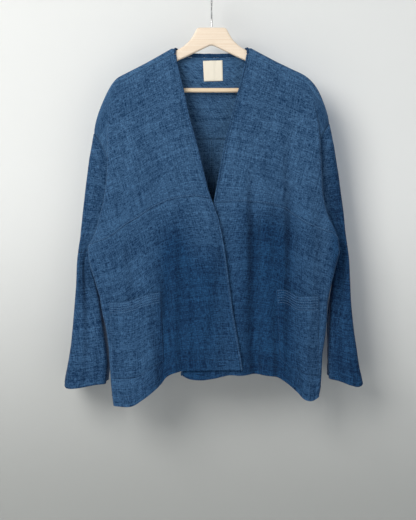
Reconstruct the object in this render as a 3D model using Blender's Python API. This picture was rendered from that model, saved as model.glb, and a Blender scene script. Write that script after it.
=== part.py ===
"""Haori jacket hanging on its wooden hanger, piece by piece as a maker cuts and sews it.

All tables are in millimetres. X runs to the viewer's right, Y away from the viewer and Z up.
The origin is the inside of the hook's crown, where the hook rests on a rail.
Names say the wearer's right and left, so the right front is on the viewer's left.
"""

from typing import NamedTuple

import bpy
import numpy as np
from mathutils.bvhtree import BVHTree

MM = 0.001
CLOTH = 1.6  # wall of each cloth piece
SEAM_GAP = 0.3  # between two pieces where they are sewn
SEAM_DROP = 12.0  # the shoulder seam lies this far below the ridge, on the front
SHOULDER_Y = 9.0  # the cloth's outer face over the hanger's arms
NECK_X = 75.0  # neck point from the middle
NECK_Z = -117.0
ARM_SLOPE = 0.49
LAP = 6.0  # the right front lies this far in front of the left one
BAND_WIDTH = 4.0  # rolled edge of the fronts
BAND_THICK = 3.2
NECK_BAND_WIDTH = 8.4
ROLL = 7.0  # radius of a front's turn back at its side
BACK_YOKE_Z = -302.0  # back yoke seam at the middle
BACK_HEM_Z = -768.0
ARMHOLE_TURN = 1.62  # where the back yoke seam meets the armhole, in half turns
POCKET_GAP = 1.0
LABEL_GAP = 0.5
LABEL_SIZE = (40.0, 42.0, 0.8)
LABEL_AT = (3.0, -162.0)
HANGER_THICK = 13.0
HANGER_ROUND = 3.0
BAR_RADIUS = 4.6
BAR_Z = -203.0
BAR_HALF = 191.0
WIRE_RADIUS = 1.7
CROWN_RADIUS = 21.0

FLAT_COLUMNS = 23  # over the flat of each front
TURN_COLUMNS = 4  # over its turn back to the armhole or side seam
UPPER_ROWS = 9
LOWER_ROWS = 9
YOKE_FLAT = 10  # over each shoulder, from the neck to the hanger's end
YOKE_ROWS = 8
BACK_ROWS = 10
ARMHOLE_ROWS = 4  # of the lower back's rows, these run beside the armhole
SLEEVE_ROWS = 8  # rows of the sleeve below the underarm
SLEEVE_FRONT = 7  # its columns before its outer edge
SLEEVE_BACK = 10  # and behind it


class Fold(NamedTuple):
    """A fold of the body; a trough has a depth above 0 and a ridge below 0."""

    x_top: float
    z_top: float
    x_end: float
    z_end: float
    half_width: float
    depth: float


class Side(NamedTuple):
    """The outlines of one front and its sleeve; sign is -1 for the wearer's right."""

    sign: int
    lap: float
    edge: list
    ridge: list
    flap: list
    yoke: list
    side: list
    seam: list
    hem: list
    sleeve_out: list
    sleeve_in: list
    pocket_top: list
    pocket_end: list


# x and z of each outline, down or outwards from the neck; seam has x, y and z
RIGHT = Side(
    sign=-1,
    lap=LAP,
    edge=[(-75, -118), (-71, -145), (-58, -200), (-44, -265), (-29, -318), (-7, -410),
          (5, -443), (14, -468), (22, -506), (28, -541), (42, -651), (57, -740), (62, -773)],
    ridge=[(-202, -182), (-212, -203), (-223, -229), (-235, -260), (-241, -293)],
    flap=[(-199, -193), (-204, -232), (-212, -284), (-212, -331), (-214, -378),
          (-221, -433), (-230, -470), (-240, -503), (-252, -525)],
    yoke=[(-5, -427), (-34, -422), (-63, -425), (-88, -431), (-121, -446), (-150, -466),
          (-176, -481), (-199, -500), (-218, -510), (-238, -516), (-252, -525)],
    side=[(-252, -525), (-251, -540), (-246, -565), (-238, -590), (-227, -625),
          (-222, -656), (-214, -689), (-208, -729), (-206, -767), (-203, -806), (-198, -845)],
    seam=[(-242, 0, -531), (-237, -1, -558), (-228, -2, -592), (-211, -3, -654), (-203, -4, -716),
          (-197, -5, -780), (-189, -6, -842)],
    hem=[(-198, -845), (-190, -846), (-161, -846), (-138, -832), (-118, -816),
         (-102, -801), (-90, -786), (-66, -776), (-23, -773), (62, -773)],
    sleeve_out=[(-241, 0, -293), (-250, 4, -341), (-258, 8, -407), (-264, 11, -459),
                (-271, 14, -520), (-279, 17, -613), (-289, 17, -726), (-303, 16, -814)],
    sleeve_in=[(-242, 0, -531), (-247.5, 4, -556), (-243, 12, -592), (-233, 17, -654),
               (-223, 19, -716), (-217, 19, -767), (-217, 18, -804)],
    pocket_top=[(-207, -636), (-182, -636), (-164, -632), (-146, -625), (-124, -618),
                (-102, -614)],
    pocket_end=[(-200, -790), (-169, -790), (-145, -785), (-123, -768), (-96, -756)],
)
LEFT = Side(
    sign=1,
    lap=0.0,
    edge=[(74, -119), (69, -145), (56, -200), (39, -265), (26, -318), (5, -430),
          (-24, -571), (-44, -672), (-60, -750), (-62, -784)],
    ridge=[(194, -174), (211, -188), (225, -219), (235, -246), (241, -273)],
    flap=[(192, -186), (204, -214), (214, -250), (220, -284), (225, -354), (230, -430),
          (240, -466), (252, -490), (259, -511)],
    yoke=[(7, -435), (34, -434), (60, -433), (93, -435), (122, -439), (151, -449),
          (170, -462), (190, -476), (219, -489), (248, -497), (259, -511)],
    side=[(259, -511), (261, -535), (254, -561), (244, -599), (236, -635), (234, -677),
          (230, -710), (225, -741), (223, -780), (221, -806), (217, -828)],
    seam=[(250, 0, -516), (245, -1, -544), (237, -2, -582), (224, -3, -634), (220, -4, -685),
          (213, -5, -740), (207, -6, -828)],
    hem=[(217, -828), (201, -836), (188, -833), (173, -818), (155, -802), (134, -788),
         (111, -784), (88, -781), (59, -784), (39, -783), (3, -790), (-23, -793),
         (-48, -790), (-62, -783)],
    sleeve_out=[(241, 0, -273), (251, 4, -317), (261, 8, -376), (273, 12, -459),
                (281, 16, -561), (285, 17, -626), (292, 17, -705), (301, 17, -771),
                (310, 16, -812)],
    sleeve_in=[(250, 0, -516), (255, 4, -543), (251, 12, -582), (245, 17, -634),
               (242, 19, -685), (241, 19, -736), (239, 18, -793)],
    pocket_top=[(218, -623), (193, -624), (171, -622), (159, -615), (146, -609), (130, -610)],
    pocket_end=[(216, -784), (204, -785), (189, -782), (175, -773), (155, -766), (137, -748)],
)

# drop below the shoulder, how far the front and the back have come away from the arms
BODY_DEPTH = [(0, 0, 0), (12, 0.6, 0.6), (100, 8, 5), (200, 16, 12), (320, 25, 20),
              (480, 33, 29), (660, 40, 35), (760, 43, 38)]

FRONT_FOLDS = [
    Fold(-76, -470, -78, -800, 26, 8),
    Fold(-163, -470, -157, -640, 26, 4),
    Fold(-126, -480, -126, -830, 28, -5),
    Fold(-11, -440, -9, -790, 34, -5),
    Fold(83, -260, 90, -800, 24, 10),
    Fold(160, -260, 160, -720, 26, 9),
    Fold(50, -380, 52, -800, 24, -4),
    Fold(123, -460, 122, -760, 24, -3),
    Fold(203, -280, 190, -820, 26, -5),
]
BACK_FOLDS = [
    Fold(-60, -330, -72, -780, 30, -7),
    Fold(-114, -330, -120, -790, 26, 8),
    Fold(-166, -320, -160, -790, 28, -8),
    Fold(66, -330, 80, -780, 30, -8),
    Fold(124, -340, 124, -790, 26, 8),
    Fold(172, -320, 168, -790, 28, -7),
    Fold(0, -420, 0, -790, 26, 5),
]

# share of the sleeve's length, and its depth before and behind its middle
SLEEVE_DEPTH = [(0, 5, 20), (0.15, 6, 25), (0.35, 9, 33), (0.55, 21, 40), (0.8, 36, 46),
                (1, 42, 47)]
ARMHOLE_DEPTH = (5.0, 20.0)  # of the armhole, before and behind the arm of the hanger
ARMHOLE_LEAN = (34.0, 26.0)  # how far it runs inwards on its way down, there too

# columns of the back neck: share of its half width, how far round the ridge (0 front,
# 1 back), height of the neckline, and how far the column spreads outwards on its way
NECKLINE = [(1, 0.3, -130, 9), (0.996, 0.6, -130, 6), (0.98, 0.85, -129, 3),
            (0.92, 1, -129, 0), (0.77, 1, -132.5, 0), (0.56, 1, -134, 0), (0.28, 1, -135, 0),
            (0, 1, -135, 0)]
NECK_SPREAD = (12.0, 60.0)  # the same beside the neck point, and how far out it fades

# half of the hanger's outline, from the top of the head round to the underside
HANGER_OUTLINE = [(0, -75), (27, -75), (31, -77), (35, -86), (44, -101), (58, -114),
                  (76, -124), (100, -137), (130, -152), (160, -167), (185, -180),
                  (196, -188), (201, -199), (199, -209), (190, -214), (182, -211),
                  (178, -203), (172, -195), (150, -183), (120, -168), (95, -155),
                  (72, -144), (54, -131), (36, -119), (18, -112.5), (0, -110.5)]


def smooth(rows, t):
    """Points at t (0 to 1 of the length) on a smooth line through the rows."""
    p = np.array(rows, float)
    step = np.linalg.norm(np.diff(p, axis=0), axis=1)
    k = np.concatenate([[0], np.cumsum(step)]) / step.sum()
    m = np.gradient(p, k, axis=0)
    t = np.clip(np.asarray(t, float), 0, 1)
    i = np.clip(np.searchsorted(k, t, side="right") - 1, 0, len(k) - 2)
    h = (k[i + 1] - k[i])[..., None]
    u = ((t - k[i]) / (k[i + 1] - k[i]))[..., None]
    return hermite(p[i], p[i + 1], m[i] * h, m[i + 1] * h, u)


def hermite(a, b, ta, tb, u):
    """The cubic from a to b that leaves along ta and arrives along tb."""
    u2, u3 = u * u, u * u * u
    return ((2 * u3 - 3 * u2 + 1) * a + (u3 - 2 * u2 + u) * ta
            + (3 * u2 - 2 * u3) * b + (u3 - u2) * tb)


def across(rows, x, key=0, value=1):
    """The table's value at x, between its rows."""
    p = np.array(rows, float)
    order = np.argsort(p[:, key])
    return np.interp(x, p[order, key], p[order, value])


def ease(v):
    v = np.clip(v, 0, 1)
    return v * v * (3 - 2 * v)


def fold_depth(folds, x, z):
    """How far the folds move the cloth at x and z towards the inside."""
    total = np.zeros(np.broadcast(x, z).shape)
    for f in folds:
        k = (f.z_top - z) / (f.z_top - f.z_end)
        line = f.x_top + (f.x_end - f.x_top) * k
        side = np.clip(1 - ((x - line) / f.half_width) ** 2, 0, 1) ** 2
        end = 1 - ease((k - 0.85) / 0.3)
        total = total + f.depth * side * ease(k / 0.4) * end
    return total


def drop(x, z):
    """How far a point is below the shoulder's line."""
    top = NECK_Z - ARM_SLOPE * np.maximum(np.abs(x) - NECK_X, 0)
    return np.maximum(top - z, 0)


def front_y(s, x, z):
    """The outer face of a front at x and z, before it turns back at its side."""
    h = drop(x, z)
    away = across(BODY_DEPTH, h, 0, 1) * (1 - 0.3 * np.clip(x / 250, -1, 1) ** 2)
    return -SHOULDER_Y - away + fold_depth(FRONT_FOLDS, x, z) - s.lap * ease(h / 160)


def rolled(y, d, radius):
    """y with a round turn back of the radius, at a distance d from the side."""
    r = np.maximum(radius, 1e-6)
    return y + r - np.sqrt(np.maximum(r * r - np.maximum(r - d, 0) ** 2, 0))


def back_y(x, z):
    """The outer face of the back at x and z."""
    away = across(BODY_DEPTH, drop(x, z), 0, 2) * (1 - 0.25 * np.clip(x / 240, -1, 1) ** 2)
    return SHOULDER_Y + away - fold_depth(BACK_FOLDS, x, z)


def ring(s, angle):
    """A point of the armhole: angle 0 at the top, a half turn below, the front between them."""
    a = np.asarray(angle, float)
    top, low = np.array(s.ridge[-1]), np.array(s.sleeve_in[0])
    out = np.array([top[0], 0, top[1]])
    sine, before = np.sin(a), np.sin(a) >= 0
    p = (out + low) / 2 + (out - low) / 2 * np.cos(a)[..., None]
    p[..., 1] += np.where(before, -ARMHOLE_DEPTH[0], ARMHOLE_DEPTH[1]) * np.abs(sine) ** 0.65
    lean = sine ** 2 * (1 + 0.35 * np.cos(a))
    p[..., 0] -= s.sign * np.where(before, ARMHOLE_LEAN[0], ARMHOLE_LEAN[1]) * lean
    return p


def turn(start, end, w, s, v, inwards):
    """The part of a front between its flat and its seam; w is 1 where it turns back.

    It reaches the seam on its way back, or inwards if inwards is near 1.
    """
    span = end - start
    size = np.linalg.norm(span)
    leave = (1 - w) * span * np.array([1.1, 0.1, 0.9]) + w * size * np.array([0, 1.0, 0])
    arrive = (1 - w) * span * np.array([0.2, 1.7, 1.1]) + w * size * np.array(
        [-inwards * s.sign, 1.2 - inwards, 0])
    return hermite(start, end, leave, arrive, v[:, None])


def yoke_z(s, x):
    return across(s.yoke, x)


def edge_x(s, z):
    """The front edge of the panel, which leaves room for its rolled band."""
    return across(s.edge, z, 1, 0) + s.sign * (BAND_WIDTH + SEAM_GAP)


def flat_shares(count):
    """Columns over a front's flat, with two more where it starts to turn back."""
    return np.append(np.linspace(0, 0.965, count - 1), [0.986, 1.0])


def armhole_angles(rows):
    """Where the upper front's rows end on the armhole."""
    return np.pi * np.linspace(0, 1, rows + 1) ** 1.25


def flat_row(s, u, t):
    """x and z over the flat of the upper front, for a row at t from shoulder to yoke."""
    fold = smooth(s.flap, t)
    low, high = s.yoke[0][1], NECK_Z - SEAM_DROP - 1
    edge_z = high + (low - high) * t
    edge = np.array([edge_x(s, edge_z), edge_z])
    p = edge + (fold - edge) * u[:, None]
    last = np.array([edge_x(s, low), low])
    end = last + (np.array(s.flap[-1]) - last) * u[:, None]
    p[:, 1] += (yoke_z(s, end[:, 0]) - end[:, 1]) * t ** 2
    return p


def front_upper(s, flat=FLAT_COLUMNS, turned=TURN_COLUMNS, rows=UPPER_ROWS):
    """The grid of the upper front, from its shoulder seam down to its yoke seam."""
    u, v = flat_shares(flat), np.linspace(0, 1, turned + 1)[1:]
    grid = []
    for t, angle in zip(np.linspace(0, 1, rows + 1), armhole_angles(rows)):
        p = flat_row(s, u, t)
        w = ease((t - 0.08) / 0.4)
        far = np.linalg.norm(p - p[-1], axis=1)
        y = rolled(front_y(s, p[:, 0], p[:, 1]), far, ROLL * w)
        line = np.column_stack([p[:, 0], y, p[:, 1]])
        end = ring(s, angle)
        inwards = 0.3 + 0.15 * ease((t - 0.75) / 0.25)
        grid.append(np.vstack([line, turn(line[-1], end, w, s, v, inwards)]))
    return np.array(grid)


def front_lower(s, flat=FLAT_COLUMNS, turned=TURN_COLUMNS, rows=LOWER_ROWS):
    """The grid of the lower front, from its yoke seam down to the hem."""
    u, v = flat_shares(flat), np.linspace(0, 1, turned + 1)[1:]
    top = flat_row(s, u, 1.0)
    near = edge_x(s, s.hem[-1][1])
    foot_x = near + (s.hem[0][0] - near) * u
    foot_z = across(s.hem, foot_x)
    grid = []
    for t in np.linspace(0, 1, rows + 1):
        z = top[:, 1] + (foot_z - top[:, 1]) * t
        ends = edge_x(s, z[0]), across(s.side, z[-1], 1, 0)
        x = ends[0] + (ends[1] - ends[0]) * u
        far = np.hypot(x - x[-1], z - z[-1])
        y = rolled(front_y(s, x, z), far, ROLL)
        line = np.column_stack([x, y, z])
        inwards = 0.45 + 0.4 * ease(t / 0.35)
        end = turn(line[-1], smooth(s.seam, t), 1.0, s, v, inwards)
        grid.append(np.vstack([line, end]))
    return np.array(grid)


def back_edge(s, t, share=ARMHOLE_ROWS / BACK_ROWS):
    """The outer edge of the lower back: down the armhole's back, then the side seam."""
    if t <= share + 1e-6:
        return ring(s, np.pi * (ARMHOLE_TURN - (ARMHOLE_TURN - 1) * t / share))
    return smooth(s.seam, (t - share) / (1 - share))


def back_row(s, u, t):
    """Points of the back at u (0 middle, 1 side) and t (0 yoke seam, 1 hem)."""
    end = back_edge(s, t)
    middle = BACK_YOKE_Z + (BACK_HEM_Z - BACK_YOKE_Z) * t
    x = end[0] * u
    z = middle + (end[2] - middle) * u ** 2.2
    y = back_y(x, z)
    y = y + (end[1] - back_y(end[0], end[2])) * ease((u - 0.62) / 0.38)
    return np.column_stack([x, y, z])


def ridge_line(s, flat, turned):
    """The front's shoulder seam and the top of the shoulder above each of its points."""
    full = front_upper(s, FLAT_COLUMNS, turned, 1)[0]
    k = np.linspace(0, 1, flat + 1)
    start, tip = full[0], full[-1 - turned]
    line = start + (tip - start) * k[:, None]
    line[:, 1] = np.interp(line[:, 0] * s.sign, full[:-turned, 0] * s.sign, full[:-turned, 1])
    seam = np.vstack([line, full[-turned:]])
    run = (np.abs(line[:, 0]) - NECK_X) / (abs(s.ridge[0][0]) - NECK_X)
    z = NECK_Z + (s.ridge[0][1] - NECK_Z) * np.clip(run, 0, 1)
    fall = smooth(s.ridge, np.linspace(0, 1, turned + 1))[1:]
    top = np.column_stack([line[:, 0], 0 * z, z])
    return seam, np.vstack([top, np.column_stack([fall[:, 0], 0 * fall[:, 0], fall[:, 1]])])


def over_ridge(low, top, q, spread=0.0):
    """Round the shoulder from the front seam (q 0) over the ridge to the back (q 1)."""
    up = np.sqrt(np.clip(np.sin(np.pi * q), 0, 1))[:, None]
    p = low + (top - low) * up
    p[:, 1] = low[1] * np.cos(np.pi * q)
    p[:, 0] += np.sign(low[0]) * spread * (q - q[0]) / max(1 - q[0], 0.01)
    return p


def yoke_columns(s, flat, turned):
    """Seam point, ridge point, start round the ridge, share of the width, and spread."""
    seam, ridge = ridge_line(s, flat, turned)
    run = np.concatenate([[0], np.cumsum(np.linalg.norm(np.diff(seam, axis=0), axis=1))])
    neck_u = abs(seam[0, 0] / back_edge(s, 0)[0])
    far = np.abs(seam[:, 0] - seam[0, 0]) / NECK_SPREAD[1]
    spread = NECK_SPREAD[0] * np.clip(1 - far, 0, 1)
    return [(seam[i], ridge[i], 0.0, neck_u + (1 - neck_u) * run[i] / run[-1], spread[i])
            for i in range(len(seam))]


def neck_columns(flat, turned, finer=1):
    """The yoke's columns between the neck points, from the right side to the left."""
    rows = np.array(NECKLINE, float)
    k = np.linspace(0, len(rows) - 1, (len(rows) - 1) * finer + 1)
    rows = np.column_stack([np.interp(k, np.arange(len(rows)), c) for c in rows.T])
    columns = []
    for sign, table in ((-1, rows), (1, rows[-2::-1])):
        s = RIGHT if sign < 0 else LEFT
        seam, ridge = ridge_line(s, flat, turned)
        for share, q, z, spread in table:
            k = list(rows[:, 0]).index(share)
            foot = abs(seam[0, 0] / back_edge(s, 0)[0]) * (1 - (k + 1) / len(rows))
            low, top = seam[0].copy(), ridge[0].copy()
            low[0] = top[0] = seam[0, 0] * share
            if q > 0.99:
                low[2] = top[2] = z
            columns.append((low, top, q, foot, spread))
    return columns


def yoke_shares(rows):
    """How far down the armhole's back each row of the yoke ends."""
    return np.append(np.linspace(0, 0.12, 5), np.linspace(0.12, 1, rows - 3)[1:])


def yoke_path(s, column, nearest, rows):
    """One column of the back yoke: over the ridge, then down to the yoke seam."""
    low, top, q, u, spread = column
    arc = ring(s, np.pi * (2 - (2 - ARMHOLE_TURN) * yoke_shares(rows)))
    if nearest == 1:
        return arc
    end = back_row(s, np.array([u]), 0.0)[0]
    wrap = over_ridge(low, top, np.linspace(q, 1, 9 if q < 1 else 1), spread)
    k = np.linspace(0, 1, 25)[1:, None]
    start = wrap[-1]
    fall = start + (end - start) * k
    held = ease(k[:, 0] * np.linalg.norm(end - start) / 90)
    fall[:, 1] = start[1] + (back_y(fall[:, 0], fall[:, 2]) - start[1]) * held
    fall[:, 1] += (end[1] - fall[-1, 1]) * ease((k[:, 0] - 0.3) / 0.7)
    path = np.vstack([wrap, fall])
    run = np.concatenate([[0], np.cumsum(np.linalg.norm(np.diff(path, axis=0), axis=1))])
    first = max(np.linalg.norm(np.diff(wrap, axis=0), axis=1).sum(), 14.0)
    at = np.concatenate([np.linspace(0, first, 5), np.linspace(first, run[-1], rows - 3)[1:]])
    line = np.stack([np.interp(at, run, path[:, i]) for i in range(3)], axis=1)
    k = yoke_shares(rows)[:, None]
    return line + (arc - arc[0] - (arc[-1] - arc[0]) * k) * nearest


def back_yoke(flat=YOKE_FLAT, turned=TURN_COLUMNS, rows=YOKE_ROWS, finer=1):
    """The grid of the back yoke, which comes over both shoulders to the front seams."""
    grid, falloff = [], [(1 - j / 7) ** 2 for j in range(7)]
    for s in (RIGHT, LEFT):
        columns = yoke_columns(s, flat, turned)
        lines = []
        for i, c in enumerate(columns):
            j = len(columns) - 1 - i
            lines.append(yoke_path(s, c, falloff[j] if j < 7 else 0.0, rows))
        grid.append(lines)
    middle = [yoke_path(RIGHT if c[0][0] < 0 else LEFT, c, 0.0, rows)
              for c in neck_columns(flat, turned, finer)]
    return np.array(grid[0][::-1] + middle + grid[1]).transpose(1, 0, 2)


def back_lower(s, flat=YOKE_FLAT, turned=TURN_COLUMNS, rows=BACK_ROWS, finer=1):
    """The grid of one half of the lower back, from the middle seam to the side."""
    columns = yoke_columns(s, flat, turned)
    shares = [c[3] for c in neck_columns(flat, turned, finer) if c[0][0] * s.sign > 1e-6]
    u = np.array(sorted([0.0] + shares + [c[3] for c in columns]))
    return np.array([back_row(s, u, t) for t in np.linspace(0, 1, rows + 1)])


def spaced(line, counts):
    """The line's points with more between them, as many steps as counts says for each."""
    k = np.concatenate([[0]] + [i + np.linspace(0, 1, n + 1)[1:] for i, n in enumerate(counts)])
    return np.stack([np.interp(k, np.arange(len(line)), c) for c in np.array(line).T], axis=1)


def sleeve_row(ahead, behind, out, opening, down, tucked):
    """A row of the sleeve, from its front seam point round the outer edge to its back one.

    An opening of a half turn closes the row; down is its share of the sleeve's length.
    Where it is tucked, its front stays behind the turned edge of the body's front.
    """
    halves_of_row = []
    for end, way, count in ((ahead, 1, SLEEVE_FRONT), (behind, 2, SLEEVE_BACK)):
        deep = across(SLEEVE_DEPTH, down, 0, way) * (-1 if way == 1 else 1)
        a = opening * np.linspace(1, 0, count + 1)
        f = (1 - np.cos(a)) / (1 - np.cos(opening))
        p = out + (end - out) * f[:, None]
        bulge = np.sin(a) ** 0.8
        if way == 1:
            bulge = bulge * np.cos(a / 2) ** (2.5 * tucked)
        p[:, 1] += deep * (bulge - bulge[0] * f)
        halves_of_row.append(p)
    return np.vstack([halves_of_row[0], halves_of_row[1][-2::-1]])


def sleeve(s, rows=SLEEVE_ROWS):
    """The grid of a sleeve: over the armhole's top, down both its edges, then closed."""
    front = ring(s, armhole_angles(UPPER_ROWS))
    lower = ring(s, np.pi * np.linspace(1, ARMHOLE_TURN, ARMHOLE_ROWS + 1))
    yoke = ring(s, np.pi * (2 - (2 - ARMHOLE_TURN) * yoke_shares(YOKE_ROWS)))
    back = np.vstack([yoke[:1], yoke[4:], lower[-2::-1]])
    top, cuff = front[0][2], s.sleeve_out[-1][2]
    over = spaced(yoke[:6], (1, 1, 1, 1, SLEEVE_BACK - 4))
    grid = [np.vstack([spaced(front[:3], (2, SLEEVE_FRONT - 2))[::-1], over[1:]])]
    ends = [(front[i], back[i], (front[i][2] + back[i][2]) / 2 - 4)
            for i in range(3, UPPER_ROWS + 1)]
    last = ends[-1][2]
    for t in np.linspace(0, 1, rows + 1)[1:]:
        inner = smooth(s.sleeve_in, t)
        ends.append((inner, inner, last + (cuff - last) * t))
    for ahead, behind, z in ends:
        out = np.array([across(s.sleeve_out, z, 2, i) for i in (0, 1)] + [z])
        low = ease(1 - (min(ahead[2], behind[2]) - front[-1][2]) / 90)
        opening, down = np.pi * (0.65 + 0.35 * low), (top - z) / (top - cuff)
        tucked = 1 - ease((front[-1][2] - ahead[2]) / 160)
        grid.append(sleeve_row(ahead, behind, out, opening, down, tucked))
    return np.array(grid)


def over_front(s, x, z, reach=9.0):
    """The foremost y of a front near x and z, so a piece laid on it clears its folds."""
    near = [front_y(s, x + d, z) for d in (-reach, -reach / 2, 0, reach / 2, reach)]
    side = np.abs(x - across(s.side, z, 1, 0))
    return rolled(np.min(near, axis=0), side, ROLL)


def pocket(s, columns=10, rows=6):
    """The grid of a patch pocket, on its front."""
    grid = []
    u = np.linspace(0, 1, columns + 1)
    top, end = smooth(s.pocket_top, u), smooth(s.pocket_end, u)
    for t in np.linspace(0, 1, rows + 1):
        p = top + (end - top) * t
        y = over_front(s, p[:, 0], p[:, 1]) - CLOTH - POCKET_GAP
        grid.append(np.column_stack([p[:, 0], y, p[:, 1]]))
    return np.array(grid)


def label(yoke, columns=5, rows=4):
    """The grid of the label, just off the inside of the back yoke."""
    inside = BVHTree.FromPolygons(yoke.points().tolist(), yoke.faces, all_triangles=True)
    w, h, _ = LABEL_SIZE
    x, z = np.meshgrid(np.linspace(-w / 2, w / 2, columns + 1) + LABEL_AT[0],
                       np.linspace(h / 2, -h / 2, rows + 1) + LABEL_AT[1])
    k = (LABEL_AT[1] + h / 2 - z) / h
    x = LABEL_AT[0] + (x - LABEL_AT[0]) * (1 - 0.03 * k)
    found = [inside.ray_cast((a, -SHOULDER_Y, b), (0, 1, 0))[0] for a, b in zip(x.flat, z.flat)]
    y = np.array([p[1] for p in found]).reshape(x.shape) - LABEL_GAP
    return np.stack([x, y, z], axis=-1)


def unit(vectors):
    return vectors / np.maximum(np.linalg.norm(vectors, axis=-1, keepdims=True), 1e-9)


def normals(grid):
    """Unit normals of a grid, evened out between neighbours."""
    n = unit(np.cross(np.gradient(grid, axis=1), np.gradient(grid, axis=0)))
    for row, column in ((0, 0), (0, -1), (-1, 0), (-1, -1)):
        n[row, column] = n[1 if row == 0 else -2, 1 if column == 0 else -2]
    padded = np.pad(n, ((1, 1), (1, 1), (0, 0)), mode="edge")
    rows, columns = n.shape[:2]
    return unit(n + sum(padded[a:a + rows, b:b + columns] for a, b in ((0, 1), (2, 1), (1, 0),
                                                                       (1, 2))) * 0.5)


def towards(points, near):
    """Directions from a line of points to the next line, square to the first."""
    step, along = near - points, unit(np.gradient(points, axis=0))
    return unit(step - along * (step * along).sum(axis=1, keepdims=True))


def inset(grid, amount):
    """The grid with its free edges moved towards its middle, by an amount for each point."""
    g = grid.copy()
    for edge, near in ((0, 1), (-1, -2)):
        g[edge] += amount[edge][:, None] * towards(grid[edge], grid[near])
        g[:, edge] += amount[:, edge][:, None] * towards(grid[:, edge], grid[:, near])
    return g


def near_corners(grid, corners, size, reach=3):
    """A size at each corner, given as row and column, that fades over reach points."""
    rows, columns = np.indices(grid.shape[:2])
    total = np.zeros(grid.shape[:2])
    for row, column in corners:
        far = np.hypot(rows - row % grid.shape[0], columns - column % grid.shape[1])
        total = np.maximum(total, size * np.clip(1 - far / reach, 0, 1))
    return total


def shell_faces(rows, columns):
    """Faces of a walled grid: its outer points come first, then its inner ones."""
    n, faces = rows * columns, []
    for r in range(rows - 1):
        for c in range(columns - 1):
            a = r * columns + c
            b, d, e = a + 1, a + columns + 1, a + columns
            faces += [(a, b, d, e), (n + a, n + e, n + d, n + b)]
    foot = (rows - 1) * columns
    for c in range(columns - 1):
        d = c + 1
        faces += [(c, n + c, n + d, d), (foot + c, foot + d, n + foot + d, n + foot + c)]
    for r in range(rows - 1):
        a, b = r * columns, (r + 1) * columns
        faces += [(a, b, n + b, n + a)]
        a, b = a + columns - 1, b + columns - 1
        faces += [(a, n + a, n + b, b)]
    return faces


def make(name, points, faces, colour, roughness=0.8):
    """One named body with its own material; points are in millimetres."""
    mesh = bpy.data.meshes.new(name)
    mesh.from_pydata((np.asarray(points) * MM).tolist(), [], faces)
    mesh.validate()
    body = bpy.data.objects.new(name, mesh)
    bpy.context.collection.objects.link(body)
    finish = bpy.data.materials.new(name + "_material")
    finish.use_nodes = True
    node = finish.node_tree.nodes["Principled BSDF"]
    node.inputs["Base Color"].default_value = (*colour, 1)
    node.inputs["Roughness"].default_value = roughness
    mesh.materials.append(finish)
    return body


def halves(points, face):
    """The two triangles of a four-sided face, cut along its shorter diagonal."""
    a, b, c, d = face
    if np.linalg.norm(points[a] - points[c]) <= np.linalg.norm(points[b] - points[d]):
        return (a, b, c), (a, c, d)
    return (b, c, d), (b, d, a)


class Cloth:
    """A walled cloth piece: outer and inner points, and triangles over both."""

    def __init__(self, name, grid, inwards, wall=CLOTH, lean=0.5, corners=(),
                 colour=(0.03, 0.09, 0.2)):
        """The grid is the outer face, and inwards says which way its wall goes.

        The inner face ends lean short of the outer one, and more at the sharp corners.
        """
        n = -normals(grid) * inwards
        gap = SEAM_GAP / 2 + 0.02 + near_corners(grid, corners, 1.2, 1.3)
        short = gap + lean + near_corners(grid, corners, 2.5)
        self.name, self.colour = name, colour
        self.outer = inset(grid, gap).reshape(-1, 3)
        self.inner = (inset(grid, short) + n * wall).reshape(-1, 3)
        faces, points = shell_faces(grid.shape[0], grid.shape[1]), self.points()
        if inwards < 0:
            faces = [f[::-1] for f in faces]
        self.faces = [t for f in faces for t in halves(points, f)]

    def points(self):
        return np.vstack([self.outer, self.inner])

    def thin(self, hit):
        """Moves the inner ones of the points in hit a quarter of the way to the outer ones."""
        k = [i - len(self.outer) for i in sorted(hit) if i >= len(self.outer)]
        self.inner[k] += (self.outer[k] - self.inner[k]) * 0.25


def crossings(pieces):
    """For each piece, the points of its faces that cross another face."""
    trees = [BVHTree.FromPolygons(p.points().tolist(), p.faces, all_triangles=True)
             for p in pieces]
    hit = [set() for _ in pieces]
    for i, a in enumerate(pieces):
        for j in range(i, len(pieces)):
            b = pieces[j]
            for f, g in trees[i].overlap(trees[j]):
                if i == j and set(a.faces[f]) & set(b.faces[g]):
                    continue
                hit[i].update(a.faces[f])
                hit[j].update(b.faces[g])
    return hit


def thin_where_crossing(pieces, rounds=16):
    """Thins the walls at sharp corners until no wall runs through another."""
    for _ in range(rounds):
        hit = crossings(pieces)
        if not any(hit):
            break
        for piece, points in zip(pieces, hit):
            piece.thin(points)


def tube(name, path, wide, thick, side, colour, around=8, roughness=0.8):
    """A closed tube down a path; side points across its width, and it has flat ends."""
    path, side = np.asarray(path, float), np.asarray(side, float)
    along = np.gradient(path, axis=0)
    along /= np.linalg.norm(along, axis=1, keepdims=True)
    side = side - along * (side * along).sum(1, keepdims=True)
    side /= np.linalg.norm(side, axis=1, keepdims=True)
    up = np.cross(along, side)
    a = np.arange(around) * 2 * np.pi / around
    wide, thick = np.broadcast_to(wide, len(path)), np.broadcast_to(thick, len(path))
    points = (path[:, None] + side[:, None] * (np.cos(a)[:, None] * wide[:, None, None] / 2)
              + up[:, None] * (np.sin(a)[:, None] * thick[:, None, None] / 2))
    faces = []
    for r in range(len(path) - 1):
        for c in range(around):
            p, q = r * around + c, r * around + (c + 1) % around
            faces.append((p, q, q + around, p + around))
    foot = (len(path) - 1) * around
    faces += [tuple(range(around))[::-1], tuple(foot + c for c in range(around))]
    return make(name, points.reshape(-1, 3), faces, colour, roughness)


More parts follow.
